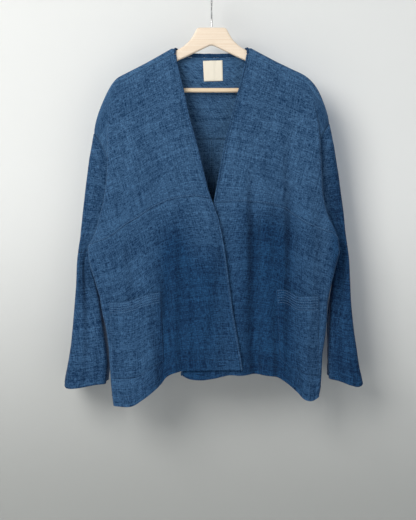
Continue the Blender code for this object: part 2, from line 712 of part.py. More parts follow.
def edge_band(s, finer=2):
    """The rolled binding of a front edge, from the shoulder seam to the hem."""
    line = np.vstack([front_upper(s)[:, 0], front_lower(s)[1:, 0]])
    k = np.arange((len(line) - 1) * finer + 1) / finer
    line = np.column_stack([np.interp(k, np.arange(len(line)), c) for c in line.T])
    line[0, 2] -= SEAM_GAP
    path = line + [-s.sign * (BAND_WIDTH / 2 + SEAM_GAP), CLOTH / 2, 0]
    return path, np.tile([1.0, 0, 0], (len(path), 1))


def neck_band(finer=2):
    """The band of the back neck, from one shoulder seam over the ridges to the other."""
    grid = back_yoke(finer=finer)
    edge = YOKE_FLAT + TURN_COLUMNS
    near = slice(edge, grid.shape[1] - edge)
    out = normals(grid)[0, near]
    line = grid[0, near]
    along = np.gradient(line, axis=0)
    side = np.cross(along, out)
    side /= np.linalg.norm(side, axis=1, keepdims=True)
    wide = BAND_WIDTH + (NECK_BAND_WIDTH - BAND_WIDTH) * ease((line[:, 1] + 2) / 11)
    path = line + side * (wide / 2 + SEAM_GAP)[:, None] + out * CLOTH / 2
    return path, side, wide


def hanger_wood():
    """The hanger's head and arms, cut from one board and rounded at its edges."""
    half = np.array(HANGER_OUTLINE, float)
    line = np.vstack([half, (half * [-1, 1])[-2:0:-1]])
    ahead, behind = np.roll(line, -1, axis=0), np.roll(line, 1, axis=0)
    along = ahead - behind
    out = np.column_stack([-along[:, 1], along[:, 0]]) / np.linalg.norm(along, axis=1)[:, None]
    half_thick = HANGER_THICK / 2
    rings = [(-half_thick, HANGER_ROUND), (-half_thick + 0.9, 0.9), (-half_thick + 3, 0.0),
             (half_thick - 3, 0.0), (half_thick - 0.9, 0.9), (half_thick, HANGER_ROUND)]
    n, points, faces = len(line), [], []
    for y, cut in rings:
        p = line - out * cut
        points.append(np.column_stack([p[:, 0], np.full(n, y), p[:, 1]]))
    for r in range(len(rings) - 1):
        for c in range(n):
            a, b = r * n + c, r * n + (c + 1) % n
            faces.append((a, b, b + n, a + n))
    foot = (len(rings) - 1) * n
    faces += [tuple(range(n))[::-1], tuple(foot + c for c in range(n))]
    return make("hanger_wood", np.vstack(points), faces, (0.9, 0.74, 0.55), 0.45)


def drill(body, name, start, end, radius):
    """Cuts a round blind hole between two points into a body."""
    side = [0.0, 1.0, 0.0]
    path = [start, (np.array(start) + end) / 2, end]
    cutter = tube(name, path, radius * 2, radius * 2, [side] * 3, (0.5, 0.5, 0.5), 16)
    cutter.hide_render = True
    cutter.display_type = "WIRE"
    cut = body.modifiers.new(name, "BOOLEAN")
    cut.operation, cut.solver, cut.object = "DIFFERENCE", "EXACT", cutter


def hook_path():
    """The hook's wire, from inside the head up and over the crown, which is at the origin."""
    r = CROWN_RADIUS + WIRE_RADIUS
    stem = [(0, -99), (0, -88), (0, -76), (0, -66), (1.5, -57), (8, -46), (16, -37)]
    angles = np.radians(np.linspace(-20, 195, 17))
    arc = [(r * np.cos(a), -CROWN_RADIUS + r * np.sin(a)) for a in angles]
    line = np.array(stem + arc + [(-r - 1.6, -33), (-r - 4.5, -38)])
    return np.column_stack([0 * line[:, 0], line[:, 0], line[:, 1]])


def clear():
    for o in list(bpy.data.objects):
        bpy.data.objects.remove(o, do_unlink=True)


def build_hanger():
    wood = hanger_wood()
    for sign in (-1, 1):
        start, end = (sign * 170.0, 0.0, BAR_Z), (sign * (BAR_HALF + 1), 0.0, BAR_Z)
        drill(wood, f"bar_hole_{'right' if sign < 0 else 'left'}", start, end, BAR_RADIUS + 0.3)
    drill(wood, "hook_hole", (0.0, 0.0, -60.0), (0.0, 0.0, -100.0), WIRE_RADIUS + 0.3)
    bar = [(x, 0.0, BAR_Z) for x in (-BAR_HALF, -60, 60, BAR_HALF)]
    tube("hanger_bar", bar, BAR_RADIUS * 2, BAR_RADIUS * 2, [(0, 1, 0)] * 4, (0.93, 0.8, 0.6),
         20, 0.45)
    wire = hook_path()
    tube("hanger_hook", wire, WIRE_RADIUS * 2, WIRE_RADIUS * 2, [(1, 0, 0)] * len(wire),
         (0.6, 0.6, 0.6), 10, 0.3)


def build_garment():
    pieces = []
    for s, name in ((RIGHT, "right"), (LEFT, "left")):
        way, turned = s.sign, [(0, -1), (-1, -1)]
        pieces += [
            Cloth(f"front_{name}_upper", front_upper(s), -way, lean=0.9, corners=turned),
            Cloth(f"front_{name}_lower", front_lower(s), -way, lean=1.4, corners=turned[:1]),
            Cloth(f"back_lower_{name}", back_lower(s), way, lean=0.9,
                  corners=[(ARMHOLE_ROWS, -1)]),
            Cloth(f"sleeve_{name}", sleeve(s), way),
            Cloth(f"pocket_{name}", pocket(s), way),
        ]
        path, side = edge_band(s)
        tube(f"edge_band_{name}", path, BAND_WIDTH, BAND_THICK, side, (0.03, 0.08, 0.18))
    yoke = Cloth("back_yoke", back_yoke(), 1, lean=0.9, corners=[(0, 0), (0, -1)])
    path, side, wide = neck_band()
    tube("neck_band", path, wide, BAND_THICK, side, (0.03, 0.08, 0.18))
    pieces += [yoke, Cloth("label", label(yoke), 1, wall=LABEL_SIZE[2], lean=0.0,
                           colour=(0.85, 0.8, 0.65))]
    thin_where_crossing(pieces)
    for piece in pieces:
        make(piece.name, piece.points(), piece.faces, piece.colour)


clear()
build_hanger()
build_garment()
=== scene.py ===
"""Looks of the haori on its wooden hanger: cloth, bindings, stitches, label, wood and wire.

Tables and lengths are in millimetres until a mesh is made. X runs to the viewer's right, Y away
from the viewer and Z up, from the inside of the hook's crown. Right and left are the wearer's.
"""

from __future__ import annotations

import logging
import math
from dataclasses import dataclass
from enum import Enum
from typing import NamedTuple, Sequence

import bpy
import numpy as np
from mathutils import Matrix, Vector
from mathutils.bvhtree import BVHTree

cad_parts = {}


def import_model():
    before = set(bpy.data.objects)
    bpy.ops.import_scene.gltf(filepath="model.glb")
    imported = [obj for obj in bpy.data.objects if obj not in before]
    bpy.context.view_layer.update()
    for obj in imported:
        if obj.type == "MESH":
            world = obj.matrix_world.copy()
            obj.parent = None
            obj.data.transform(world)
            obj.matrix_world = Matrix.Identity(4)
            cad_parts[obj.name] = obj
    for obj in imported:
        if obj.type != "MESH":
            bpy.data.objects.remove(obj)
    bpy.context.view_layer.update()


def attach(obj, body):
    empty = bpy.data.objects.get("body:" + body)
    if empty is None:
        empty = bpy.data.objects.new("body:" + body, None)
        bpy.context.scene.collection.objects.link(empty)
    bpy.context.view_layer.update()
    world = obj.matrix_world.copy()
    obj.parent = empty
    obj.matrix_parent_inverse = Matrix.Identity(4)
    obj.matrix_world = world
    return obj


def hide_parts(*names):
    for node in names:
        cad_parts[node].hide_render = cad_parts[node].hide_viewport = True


MM = 0.001
SHOULDER_Y = 9.0  # the cloth's outer face over the hanger's arms
NECK_X = 75.0
NECK_Z = -117.0
SEAM_DROP = 12.0  # the shoulder seam lies this far below the ridge, on the front
ARM_SLOPE = 0.49
LAP = 6.0  # the right front lies this far ahead of the left one
ROLL = 7.0  # radius of the soft turn at a front's side
BAND_WIDTH = 4.0
BACK_YOKE_Z = -302.0
BACK_HEM_Z = -768.0
ARMHOLE_TURN = 1.62  # where the back yoke's seam meets the armhole, in half turns
CLOTH_THICK = 0.9
WALL_Y = 84.0
LATTICE = 97  # cells of the noise pattern each way, before it repeats
ARMHOLE_SHARE = 0.4  # of the lower back's edge, which lies along the armhole
INSIDE_GAP = 0.75  # how far inside the cloth the label and the seam's folded edge lie

log = logging.getLogger("haori")

Table = Sequence[Sequence[float]]


class Fold(NamedTuple):
    """A fold of the body; a trough has a depth above 0 and a ridge below 0."""

    x_top: float
    z_top: float
    x_end: float
    z_end: float
    half_width: float
    depth: float
    wander: float = 2.0


class SleeveFold(NamedTuple):
    """A fold down a sleeve; place is its share of the way round, from the front seam."""

    place_top: float
    z_top: float
    place_end: float
    z_end: float
    half_width: float
    depth: float


class Side(NamedTuple):
    """The outlines of one front and its sleeve; sign is -1 for the wearer's right."""

    sign: int
    lap: float
    edge: list
    ridge: list
    flap: list
    yoke: list
    side: list
    seam: list
    hem: list
    sleeve_out: list
    sleeve_in: list
    pocket_top: list
    pocket_end: list


# x and z of each outline, down or outwards from the neck; seam has x, y and z
RIGHT = Side(
    sign=-1,
    lap=LAP,
    edge=[(-75, -118), (-71, -145), (-58, -200), (-44, -265), (-29, -318), (-7, -410),
          (5, -443), (14, -468), (22, -506), (28, -541), (42, -651), (57, -740), (62, -773)],
    ridge=[(-202, -182), (-212, -203), (-223, -229), (-235, -260), (-241, -293)],
    flap=[(-199, -193), (-204, -232), (-212, -284), (-212, -331), (-214, -378),
          (-221, -433), (-230, -470), (-240, -503), (-252, -525)],
    yoke=[(-5, -427), (-34, -422), (-63, -425), (-88, -431), (-121, -446), (-150, -466),
          (-176, -481), (-199, -500), (-218, -510), (-238, -516), (-252, -525)],
    side=[(-252, -525), (-251, -540), (-246, -565), (-238, -590), (-227, -625),
          (-222, -656), (-214, -689), (-208, -729), (-206, -767), (-203, -806), (-198, -845)],
    seam=[(-242, 0, -531), (-237, -1, -558), (-228, -2, -592), (-211, -3, -654), (-203, -4, -716),
          (-197, -5, -780), (-189, -6, -842)],
    hem=[(-198, -845), (-190, -846), (-161, -846), (-138, -832), (-118, -816),
         (-102, -801), (-90, -786), (-66, -776), (-23, -773), (62, -773)],
    sleeve_out=[(-241, 0, -293), (-250, 4, -341), (-258, 8, -407), (-264, 11, -459),
                (-271, 14, -520), (-279, 17, -613), (-289, 17, -726), (-303, 16, -814)],
    sleeve_in=[(-242, 0, -531), (-246, 4, -556), (-238, 12, -592), (-226, 17, -654),
               (-217, 19, -716), (-211, 19, -767), (-213, 18, -804)],
    pocket_top=[(-207, -636), (-182, -636), (-164, -632), (-146, -625), (-124, -618),
                (-102, -614)],
    pocket_end=[(-200, -790), (-169, -790), (-145, -785), (-123, -768), (-96, -756)],
)
LEFT = Side(
    sign=1,
    lap=0.0,
    edge=[(74, -119), (69, -145), (56, -200), (39, -265), (26, -318), (5, -430),
          (-24, -571), (-44, -672), (-60, -750), (-62, -784)],
    ridge=[(194, -174), (211, -188), (225, -219), (235, -246), (241, -273)],
    flap=[(192, -186), (204, -214), (214, -250), (220, -284), (225, -354), (230, -430),
          (240, -466), (252, -490), (259, -511)],
    yoke=[(7, -435), (34, -434), (60, -433), (93, -435), (122, -439), (151, -449),
          (170, -462), (190, -476), (219, -489), (248, -497), (259, -511)],
    side=[(259, -511), (261, -535), (254, -561), (244, -599), (236, -635), (234, -677),
          (230, -710), (225, -741), (223, -780), (221, -806), (217, -828)],
    seam=[(250, 0, -516), (245, -1, -544), (237, -2, -582), (224, -3, -634), (220, -4, -685),
          (213, -5, -740), (207, -6, -828)],
    hem=[(217, -828), (201, -836), (188, -833), (173, -818), (155, -802), (134, -788),
         (111, -784), (88, -781), (59, -784), (39, -783), (3, -790), (-23, -793),
         (-48, -790), (-62, -783)],
    sleeve_out=[(241, 0, -273), (251, 4, -317), (261, 8, -376), (273, 12, -459),
                (281, 16, -561), (285, 17, -626), (292, 17, -705), (301, 17, -771),
                (310, 16, -812)],
    sleeve_in=[(250, 0, -516), (255, 4, -543), (251, 12, -582), (245, 17, -634),
               (242, 19, -685), (241, 19, -736), (239, 18, -793)],
    pocket_top=[(218, -623), (193, -624), (171, -622), (159, -615), (146, -609), (130, -610)],
    pocket_end=[(216, -784), (204, -785), (189, -782), (175, -773), (155, -766), (137, -748)],
)

# drop below the shoulder, how far the front and the back have come away from the arms
BODY_DEPTH = [(0, 0, 0), (12, 0.6, 0.6), (100, 8, 5), (200, 16, 12), (320, 25, 20),
              (480, 33, 29), (660, 40, 35), (760, 43, 38)]

# troughs and ridges of the fronts, each where it hangs
FRONT_FOLDS = [
    Fold(-90, -495, -94, -800, 17, 7.5),
    Fold(-57, -450, -61, -810, 16, 6.0),
    Fold(-160, -470, -158, -650, 19, 4.5),
    Fold(-125, -480, -125, -830, 20, -5.0),
    Fold(-186, -560, -184, -830, 14, 2.5),
    Fold(-10, -440, -9, -790, 32, -5.0),
    Fold(24, -560, 34, -790, 12, 2.0),
    Fold(-120, -250, -112, -440, 26, 1.6, 4.0),
    Fold(-172, -230, -178, -430, 22, 2.2, 3.0),
    Fold(80, -285, 90, -810, 16, 10.0),
    Fold(160, -270, 160, -710, 17, 9.0),
    Fold(132, -590, 133, -800, 11, 4.0),
    Fold(56, -385, 58, -760, 20, -5.0),
    Fold(112, -330, 112, -790, 20, -4.0),
    Fold(203, -280, 190, -820, 26, -5.0),
    Fold(188, -560, 182, -800, 13, 3.0),
    Fold(20, -500, -8, -780, 14, 2.5),
    Fold(-30, -620, -40, -790, 12, 2.5, 1.0),
    Fold(124, -190, 120, -360, 24, 1.8, 4.0),
]
# the same down the back
BACK_FOLDS = [
    Fold(-60, -330, -72, -780, 28, -7.0),
    Fold(-92, -400, -98, -790, 13, 3.0),
    Fold(-114, -330, -120, -790, 22, 8.0),
    Fold(-166, -320, -160, -790, 26, -8.0),
    Fold(-140, -460, -146, -800, 11, 2.5),
    Fold(-34, -430, -36, -790, 14, 3.5),
    Fold(66, -330, 80, -780, 28, -8.0),
    Fold(98, -420, 104, -790, 12, 3.0),
    Fold(124, -340, 124, -790, 22, 8.0),
    Fold(172, -320, 168, -790, 26, -7.0),
    Fold(0, -420, 0, -790, 24, 5.0),
    Fold(36, -450, 38, -790, 13, 2.5),
]
# folds down the sleeves
SLEEVE_FOLDS = [
    SleeveFold(0.10, -540, 0.11, -830, 0.045, 9.0),
    SleeveFold(0.20, -480, 0.22, -830, 0.06, -5.0),
    SleeveFold(0.31, -400, 0.34, -800, 0.05, 5.0),
    SleeveFold(0.60, -430, 0.56, -830, 0.06, 5.0),
    SleeveFold(0.78, -460, 0.80, -830, 0.07, -5.0),
    SleeveFold(0.90, -560, 0.90, -830, 0.04, 3.5),
]

# share of the sleeve's length, and its depth before and behind its middle
SLEEVE_DEPTH = [(0, 5, 20), (0.15, 6, 25), (0.35, 9, 33), (0.55, 21, 40), (0.8, 36, 46),
                (1, 42, 47)]
ARMHOLE_DEPTH = (5.0, 20.0)  # of the armhole, before and behind the arm of the hanger
ARMHOLE_LEAN = (34.0, 26.0)  # how far it runs inwards on its way down, there too

# columns of the back neck: share of its half width, how far round the ridge (0 front,
# 1 back), height of the neckline, and how far the column spreads outwards on its way
NECKLINE = [(1, 0, -130, 12), (1, 0.3, -130, 9), (0.996, 0.6, -130, 6), (0.98, 0.85, -129, 3),
            (0.92, 1, -129, 0), (0.77, 1, -132.5, 0), (0.56, 1, -134, 0), (0.28, 1, -135, 0),
            (0, 1, -135, 0)]
NECK_SPREAD = (12.0, 60.0)  # the same beside the neck point, and how far out it fades
# half of the hanger's outline, from the top of the head round to the underside
HANGER_OUTLINE = [(0, -75), (27, -75), (31, -77), (35, -86), (44, -101), (58, -114),
                  (76, -124), (100, -137), (130, -152), (160, -167), (185, -180),
                  (196, -188), (201, -199), (199, -209), (190, -214), (182, -211),
                  (178, -203), (172, -195), (150, -183), (120, -168), (95, -155),
                  (72, -144), (54, -135.5), (36, -127), (18, -118.5), (7, -113), (0, -110.5)]

# z, and how much paler than its lot the cloth is there: lighter at the shoulders, darker lower down
TONE_BY_HEIGHT = [(-850, -0.16), (-560, -0.15), (-450, -0.1), (-350, -0.01), (-120, 0.01)]
# painted shade in the fronts' folds, laid by x and z: middle, width, how far down it starts, and
# how much darker
PAINTED_FOLD_SHADE = [(-75, 36, 420, 0.34), (-10, 45, 470, 0.25), (115, 64, 390, 0.37)]


def smooth(rows: Table, t: np.ndarray | float) -> np.ndarray:
    """Points on a smooth line through the rows.

    Args:
        rows: the points of the line.
        t: how far down its length, 0 to 1.

    Returns:
        One point for each t.
    """
    p = np.array(rows, float)
    step = np.linalg.norm(np.diff(p, axis=0), axis=1)
    k = np.concatenate([[0], np.cumsum(step)]) / step.sum()
    m = np.gradient(p, k, axis=0)
    t = np.clip(np.asarray(t, float), 0, 1)
    i = np.clip(np.searchsorted(k, t, side="right") - 1, 0, len(k) - 2)
    h = (k[i + 1] - k[i])[..., None]
    u = ((t - k[i]) / (k[i + 1] - k[i]))[..., None]
    return hermite(p[i], p[i + 1], m[i] * h, m[i + 1] * h, u)


def hermite(a: np.ndarray, b: np.ndarray, ta: np.ndarray, tb: np.ndarray,
            u: np.ndarray) -> np.ndarray:
    """The cubic from a to b that leaves along ta and arrives along tb.

    Args:
        a, b: its ends.
        ta, tb: its directions there.
        u: how far along, 0 to 1.

    Returns:
        One point for each u.
    """
    u2, u3 = u * u, u * u * u
    return ((2 * u3 - 3 * u2 + 1) * a + (u3 - 2 * u2 + u) * ta
            + (3 * u2 - 2 * u3) * b + (u3 - u2) * tb)


def across(rows: Table, x: np.ndarray | float, key: int = 0, value: int = 1) -> np.ndarray:
    """A table's value at x, between its rows.

    Args:
        rows: the table.
        x: where to read it.
        key, value: the columns to read from and to read.

    Returns:
        One value for each x.
    """
    p = np.array(rows, float)
    order = np.argsort(p[:, key])
    return np.interp(x, p[order, key], p[order, value])


def ease(v: np.ndarray | float) -> np.ndarray:
    """v held between 0 and 1, with soft ends."""
    v = np.clip(v, 0, 1)
    return v * v * (3 - 2 * v)


def unit(vectors: np.ndarray) -> np.ndarray:
    """The vectors at length 1."""
    return vectors / np.maximum(np.linalg.norm(vectors, axis=-1, keepdims=True), 1e-9)


def lengths(line: np.ndarray) -> np.ndarray:
    """How far along a line each of its points is."""
    return np.concatenate([[0], np.cumsum(np.linalg.norm(np.diff(line, axis=0), axis=1))])


def read_line(line: np.ndarray, run: np.ndarray, at: np.ndarray) -> np.ndarray:
    """Points of a line.

    Args:
        line: its points.
        run: how far along it each of them is.
        at: how far along it the wanted ones are.

    Returns:
        One point for each of them.
    """
    return np.stack([np.interp(at, run, c) for c in line.T], axis=1)


def down_columns(grid: np.ndarray) -> np.ndarray:
    """How far each point of a grid is from its first row, along its column."""
    step = np.linalg.norm(np.diff(grid, axis=0), axis=2)
    return np.concatenate([np.zeros((1, grid.shape[1])), np.cumsum(step, axis=0)])


def grid_faces(grid: np.ndarray, outwards: int) -> list[list[int]]:
    """A grid's faces, all with their outer side the same way.

    Args:
        grid: rows and columns of points.
        outwards: 1 where the grid's normals are its outer side, -1 where they aren't.

    Returns:
        Four points for each face.
    """
    rows, columns = grid.shape[:2]
    a = (np.arange(rows - 1)[:, None] * columns + np.arange(columns - 1)[None, :]).ravel()
    four = np.stack([a, a + 1, a + columns + 1, a + columns], axis=1)
    return (four if outwards > 0 else four[:, ::-1]).tolist()


def rod_faces(rings: int, around: int, first: int = 0) -> list[tuple[int, ...]]:
    """The faces of a rod made of rings of points.

    Args:
        rings: how many it has.
        around: how many points are in each.
        first: how many points come before its own.

    Returns:
        Its sides, then its two ends.
    """
    starts = [first + r * around for r in range(rings)]
    faces = [(a + c, a + (c + 1) % around, b + (c + 1) % around, b + c)
             for a, b in zip(starts, starts[1:]) for c in range(around)]
    ends = [tuple(s + c for c in range(around)) for s in (starts[0], starts[-1])]
    return faces + [ends[0][::-1], ends[1]]


def steps(length: float, fine: float = 0.9, coarse: float = 3.2,
          margin: float = 8.0) -> np.ndarray:
    """Shares along a length, closer together beside both of its ends, where the seams are.

    Args:
        length: the length in mm.
        fine, coarse: the spacing beside the ends and between them.
        margin: how far the fine spacing reaches.

    Returns:
        Shares from 0 to 1.
    """
    ends = np.arange(0, margin, fine)
    middle = np.linspace(margin, length - margin, max(int((length - 2 * margin) / coarse), 2))
    return np.concatenate([ends, middle, (length - ends)[::-1]]) / length


class Rumple:
    """The small unevenness of soft hand-woven cloth, the same at every run."""

    def __init__(self, seed: int) -> None:
        """Draws the pattern.

        Args:
            seed: which of its patterns.
        """
        self.lattice = np.random.default_rng(seed).random((LATTICE, LATTICE)) * 2 - 1

    def cell(self, i: np.ndarray, j: np.ndarray) -> np.ndarray:
        """The pattern's values at the whole places i and j."""
        return self.lattice[i % LATTICE, j % LATTICE]

    def noise(self, u: np.ndarray, v: np.ndarray) -> np.ndarray:
        """Smooth noise from -1 to 1.

        Args:
            u, v: where, with one cell of the pattern to each whole number.

        Returns:
            One value for each point.
        """
        i, j = np.floor(u).astype(int), np.floor(v).astype(int)
        a, b = ease(u - i), ease(v - j)
        low = self.cell(i, j) * (1 - a) + self.cell(i + 1, j) * a
        high = self.cell(i, j + 1) * (1 - a) + self.cell(i + 1, j + 1) * a
        return low * (1 - b) + high * b

    def hang(self, x: np.ndarray, z: np.ndarray) -> np.ndarray:
        """How far cloth that hangs stands out of its even form, in mm.

        Args:
            x, z: where.

        Returns:
            One depth for each point: long soft ripples, and small uneven ones on them.
        """
        down = ease((-z - 150) / 250)
        broad = self.noise(x / 34 + 7, z / 150 + 3) * (0.5 + 1.3 * down)
        narrow = self.noise(x / 13 + 21, z / 60 + 11) * (0.25 + 0.5 * down)
        fine = self.noise(x / 7 + 31, z / 9 + 5) * 0.16
        return broad + narrow + fine


BODY_RUMPLE = Rumple(11)
SLEEVE_RUMPLE = Rumple(29)


def fold_depth(folds: Sequence[Fold], x: np.ndarray, z: np.ndarray) -> np.ndarray:
    """How far the folds move the cloth towards the inside.

    Args:
        folds: the folds.
        x, z: where.

    Returns:
        One depth for each point, in mm.
    """
    total = np.zeros(np.broadcast(x, z).shape)
    for f in folds:
        k = (f.z_top - z) / (f.z_top - f.z_end)
        line = f.x_top + (f.x_end - f.x_top) * k + f.wander * np.sin(k * 7.0 + f.x_top * 0.3)
        side = np.clip(1 - ((x - line) / f.half_width) ** 2, 0, 1) ** 2
        uneven = 1 + 0.22 * np.sin(k * 9.0 + f.x_top)
        total = total + f.depth * side * uneven * ease(k / 0.45) * (1 - ease((k - 0.9) / 0.35))
    return total


def drop(x: np.ndarray, z: np.ndarray) -> np.ndarray:
    """How far a point is below the shoulder's line."""
    return np.maximum(NECK_Z - ARM_SLOPE * np.maximum(np.abs(x) - NECK_X, 0) - z, 0)


def rolled(y: np.ndarray, d: np.ndarray, radius: np.ndarray | float) -> np.ndarray:
    """y with a round turn back at the side.

    Args:
        y: the depth without it.
        d: distance from the side.
        radius: the turn's radius.

    Returns:
        One depth for each point.
    """
    r = np.maximum(radius, 1e-6)
    return y + r - np.sqrt(np.maximum(r * r - np.maximum(r - d, 0) ** 2, 0))


def back_y(x: np.ndarray, z: np.ndarray) -> np.ndarray:
    """The outer face of the back at x and z."""
    away = across(BODY_DEPTH, drop(x, z), 0, 2) * (1 - 0.25 * np.clip(x / 240, -1, 1) ** 2)
    return SHOULDER_Y + away - fold_depth(BACK_FOLDS, x, z) + BODY_RUMPLE.hang(x + 500, z)


def armhole_angles(k: np.ndarray) -> np.ndarray:
    """Angles down the front of the armhole at shares k of its length."""
    return np.pi * np.asarray(k, float) ** 1.25


@dataclass(frozen=True)
class Drape:
    """How one side of the garment hangs: its front, its half of the back, and its sleeve."""

    side: Side
    columns: int = 104
    turned: int = 14

    def front_y(self, x: np.ndarray, z: np.ndarray) -> np.ndarray:
        """The outer face of the front.

        Args:
            x, z: where.

        Returns:
            One y for each point.
        """
        h = drop(x, z)
        away = across(BODY_DEPTH, h, 0, 1) * (1 - 0.3 * np.clip(x / 250, -1, 1) ** 2)
        inward = (self.edge_x(z) - x) * -self.side.sign
        valley = 1.5 * np.exp(-((inward - 5.5) / 4.5) ** 2) * ease(h / 40)
        folds = fold_depth(FRONT_FOLDS, x, z) + valley
        return (-SHOULDER_Y - away + folds - self.side.lap * ease(h / 160)
                - BODY_RUMPLE.hang(x, z))

    def ring(self, angle: np.ndarray | float) -> np.ndarray:
        """Points of the armhole.

        Args:
            angle: 0 at its top, a half turn at the underarm, with the front between them.

        Returns:
            One point for each angle.
        """
        a, s = np.asarray(angle, float), self.side
        low = np.array(s.sleeve_in[0], float)
        out = np.array([s.ridge[-1][0], 0, s.ridge[-1][1]], float)
        sine, before = np.sin(a), np.sin(a) >= 0
        p = (out + low) / 2 + (out - low) / 2 * np.cos(a)[..., None]
        p[..., 1] += np.where(before, -ARMHOLE_DEPTH[0], ARMHOLE_DEPTH[1]) * np.abs(sine) ** 0.65
        lean = sine ** 2 * (1 + 0.35 * np.cos(a))
        p[..., 0] -= s.sign * np.where(before, ARMHOLE_LEAN[0], ARMHOLE_LEAN[1]) * lean
        return p

    def turn(self, start: np.ndarray, end: np.ndarray, w: float, inwards: float) -> np.ndarray:
        """The part of a front between its flat and its seam.

        Args:
            start, end: its ends.
            w: 1 where it turns back, 0 where it runs straight on.
            inwards: how far it reaches the seam inwards, 0 to 1.

        Returns:
            Its points, without the first.
        """
        span = end - start
        size = np.linalg.norm(span)
        v = np.linspace(0, 1, self.turned + 1)[1:, None]
        leave = (1 - w) * span * np.array([1.1, 0.1, 0.9]) + w * size * np.array([0, 1.0, 0])
        arrive = (1 - w) * span * np.array([0.2, 1.7, 1.1]) + w * size * np.array(
            [-inwards * self.side.sign, 1.2 - inwards, 0])
        return hermite(start, end, leave, arrive, v)

    def edge_x(self, z: np.ndarray | float) -> np.ndarray:
        """The front edge of the panel, beside its rolled band."""
        return across(self.side.edge, z, 1, 0) + self.side.sign * (BAND_WIDTH - 0.6)

    def shares(self) -> np.ndarray:
        """Columns over a front's flat, closer where it starts to turn back."""
        k = np.linspace(0, 1, self.columns + 1)
        return 1 - (1 - k) ** 1.12

    def flat_row(self, u: np.ndarray, t: float) -> np.ndarray:
        """x and z over the flat of the upper front.

        Args:
            u: shares across it.
            t: how far down from the shoulder seam to the yoke seam.

        Returns:
            One x and z for each u.
        """
        s = self.side
        fold = smooth(s.flap, t)
        low, high = s.yoke[0][1], NECK_Z - SEAM_DROP - 1
        edge_z = high + (low - high) * t
        edge = np.array([float(self.edge_x(edge_z)), edge_z])
        p = edge + (fold - edge) * u[:, None]
        last = np.array([float(self.edge_x(low)), low])
        end = last + (np.array(s.flap[-1]) - last) * u[:, None]
        p[:, 1] += (across(s.yoke, end[:, 0]) - end[:, 1]) * t ** 2
        return p

    def front_upper(self) -> np.ndarray:
        """The grid of the upper front, from its shoulder seam to its yoke seam."""
        u, s = self.shares(), self.side
        grid = []
        for t in steps(abs(s.yoke[0][1]) - 130):
            p = self.flat_row(u, t)
            w = float(ease((t - 0.08) / 0.4))
            far = np.linalg.norm(p - p[-1], axis=1)
            y = rolled(self.front_y(p[:, 0], p[:, 1]), far, ROLL * w)
            line = np.column_stack([p[:, 0], y, p[:, 1]])
            inwards = 0.3 + 0.15 * float(ease((t - 0.75) / 0.25))
            end = self.turn(line[-1], self.ring(armhole_angles(t)), w, inwards)
            grid.append(np.vstack([line, end]))
        return np.array(grid)

    def front_lower(self) -> np.ndarray:
        """The grid of the lower front, from its yoke seam to the hem."""
        u, s = self.shares(), self.side
        top = self.flat_row(u, 1.0)
        near = float(self.edge_x(s.hem[-1][1]))
        foot_x = near + (s.hem[0][0] - near) * u
        foot_z = across(smooth(s.hem, np.linspace(0, 1, 120)), foot_x)
        grid = []
        for t in steps(350):
            z = top[:, 1] + (foot_z - top[:, 1]) * t
            ends = float(self.edge_x(z[0])), float(across(s.side, z[-1], 1, 0))
            x = ends[0] + (ends[1] - ends[0]) * u
            far = np.hypot(x - x[-1], z - z[-1])
            y = rolled(self.front_y(x, z), far, ROLL)
            line = np.column_stack([x, y, z])
            inwards = 0.45 + 0.4 * float(ease(t / 0.35))
            grid.append(np.vstack([line, self.turn(line[-1], smooth(s.seam, t), 1.0, inwards)]))
        return np.array(grid)

    def back_edge(self, t: float) -> np.ndarray:
        """The outer edge of the lower back, at a share t of the way down."""
        if t <= ARMHOLE_SHARE:
            return self.ring(np.pi * (ARMHOLE_TURN - (ARMHOLE_TURN - 1) * t / ARMHOLE_SHARE))
        return smooth(self.side.seam, (t - ARMHOLE_SHARE) / (1 - ARMHOLE_SHARE))

    def back_row(self, u: np.ndarray, t: float) -> np.ndarray:
        """Points of the back.

        Args:
            u: shares from the middle to the side.
            t: how far down from the yoke seam to the hem.

        Returns:
            One point for each u.
        """
        end = self.back_edge(t)
        middle = BACK_YOKE_Z + (BACK_HEM_Z - BACK_YOKE_Z) * t
        x = end[0] * u
        z = middle + (end[2] - middle) * u ** 2.2
        y = back_y(x, z)
        y = y + (end[1] - back_y(end[0], end[2])) * ease((u - 0.62) / 0.38)
        return np.column_stack([x, y, z])

    def back_lower(self) -> np.ndarray:
        """The grid of this half of the lower back, from the middle seam to the side."""
        u = steps(240, coarse=2.6)
        return np.array([self.back_row(u, t) for t in steps(466)])

    def ridge_line(self, flat: int, turned: int) -> tuple[np.ndarray, np.ndarray]:
        """The front's shoulder seam, and the top of the shoulder above each of its points.

        Args:
            flat, turned: columns over the shoulder and down its end.

        Returns:
            The two lines of points.
        """
        s = self.side
        full = Drape(s, self.columns, turned).front_upper()[0]
        k = np.linspace(0, 1, flat + 1)
        start, tip = full[0], full[-1 - turned]
        line = start + (tip - start) * k[:, None]
        seam_y = full[:-turned, 1]
        line[:, 1] = np.interp(line[:, 0] * s.sign, full[:-turned, 0] * s.sign, seam_y)
        seam = np.vstack([line, full[-turned:]])
        run = (np.abs(line[:, 0]) - NECK_X) / (abs(s.ridge[0][0]) - NECK_X)
        z = NECK_Z + (s.ridge[0][1] - NECK_Z) * np.clip(run, 0, 1)
        fall = smooth(s.ridge, np.linspace(0, 1, turned + 1))[1:]
        top = np.column_stack([line[:, 0], 0 * z, z])
        last = np.column_stack([fall[:, 0], 0 * fall[:, 0], fall[:, 1]])
        top = np.vstack([top, last])
        for _ in range(12):
            top[1:-1] = (top[:-2] + 2 * top[1:-1] + top[2:]) / 4
        return seam, top

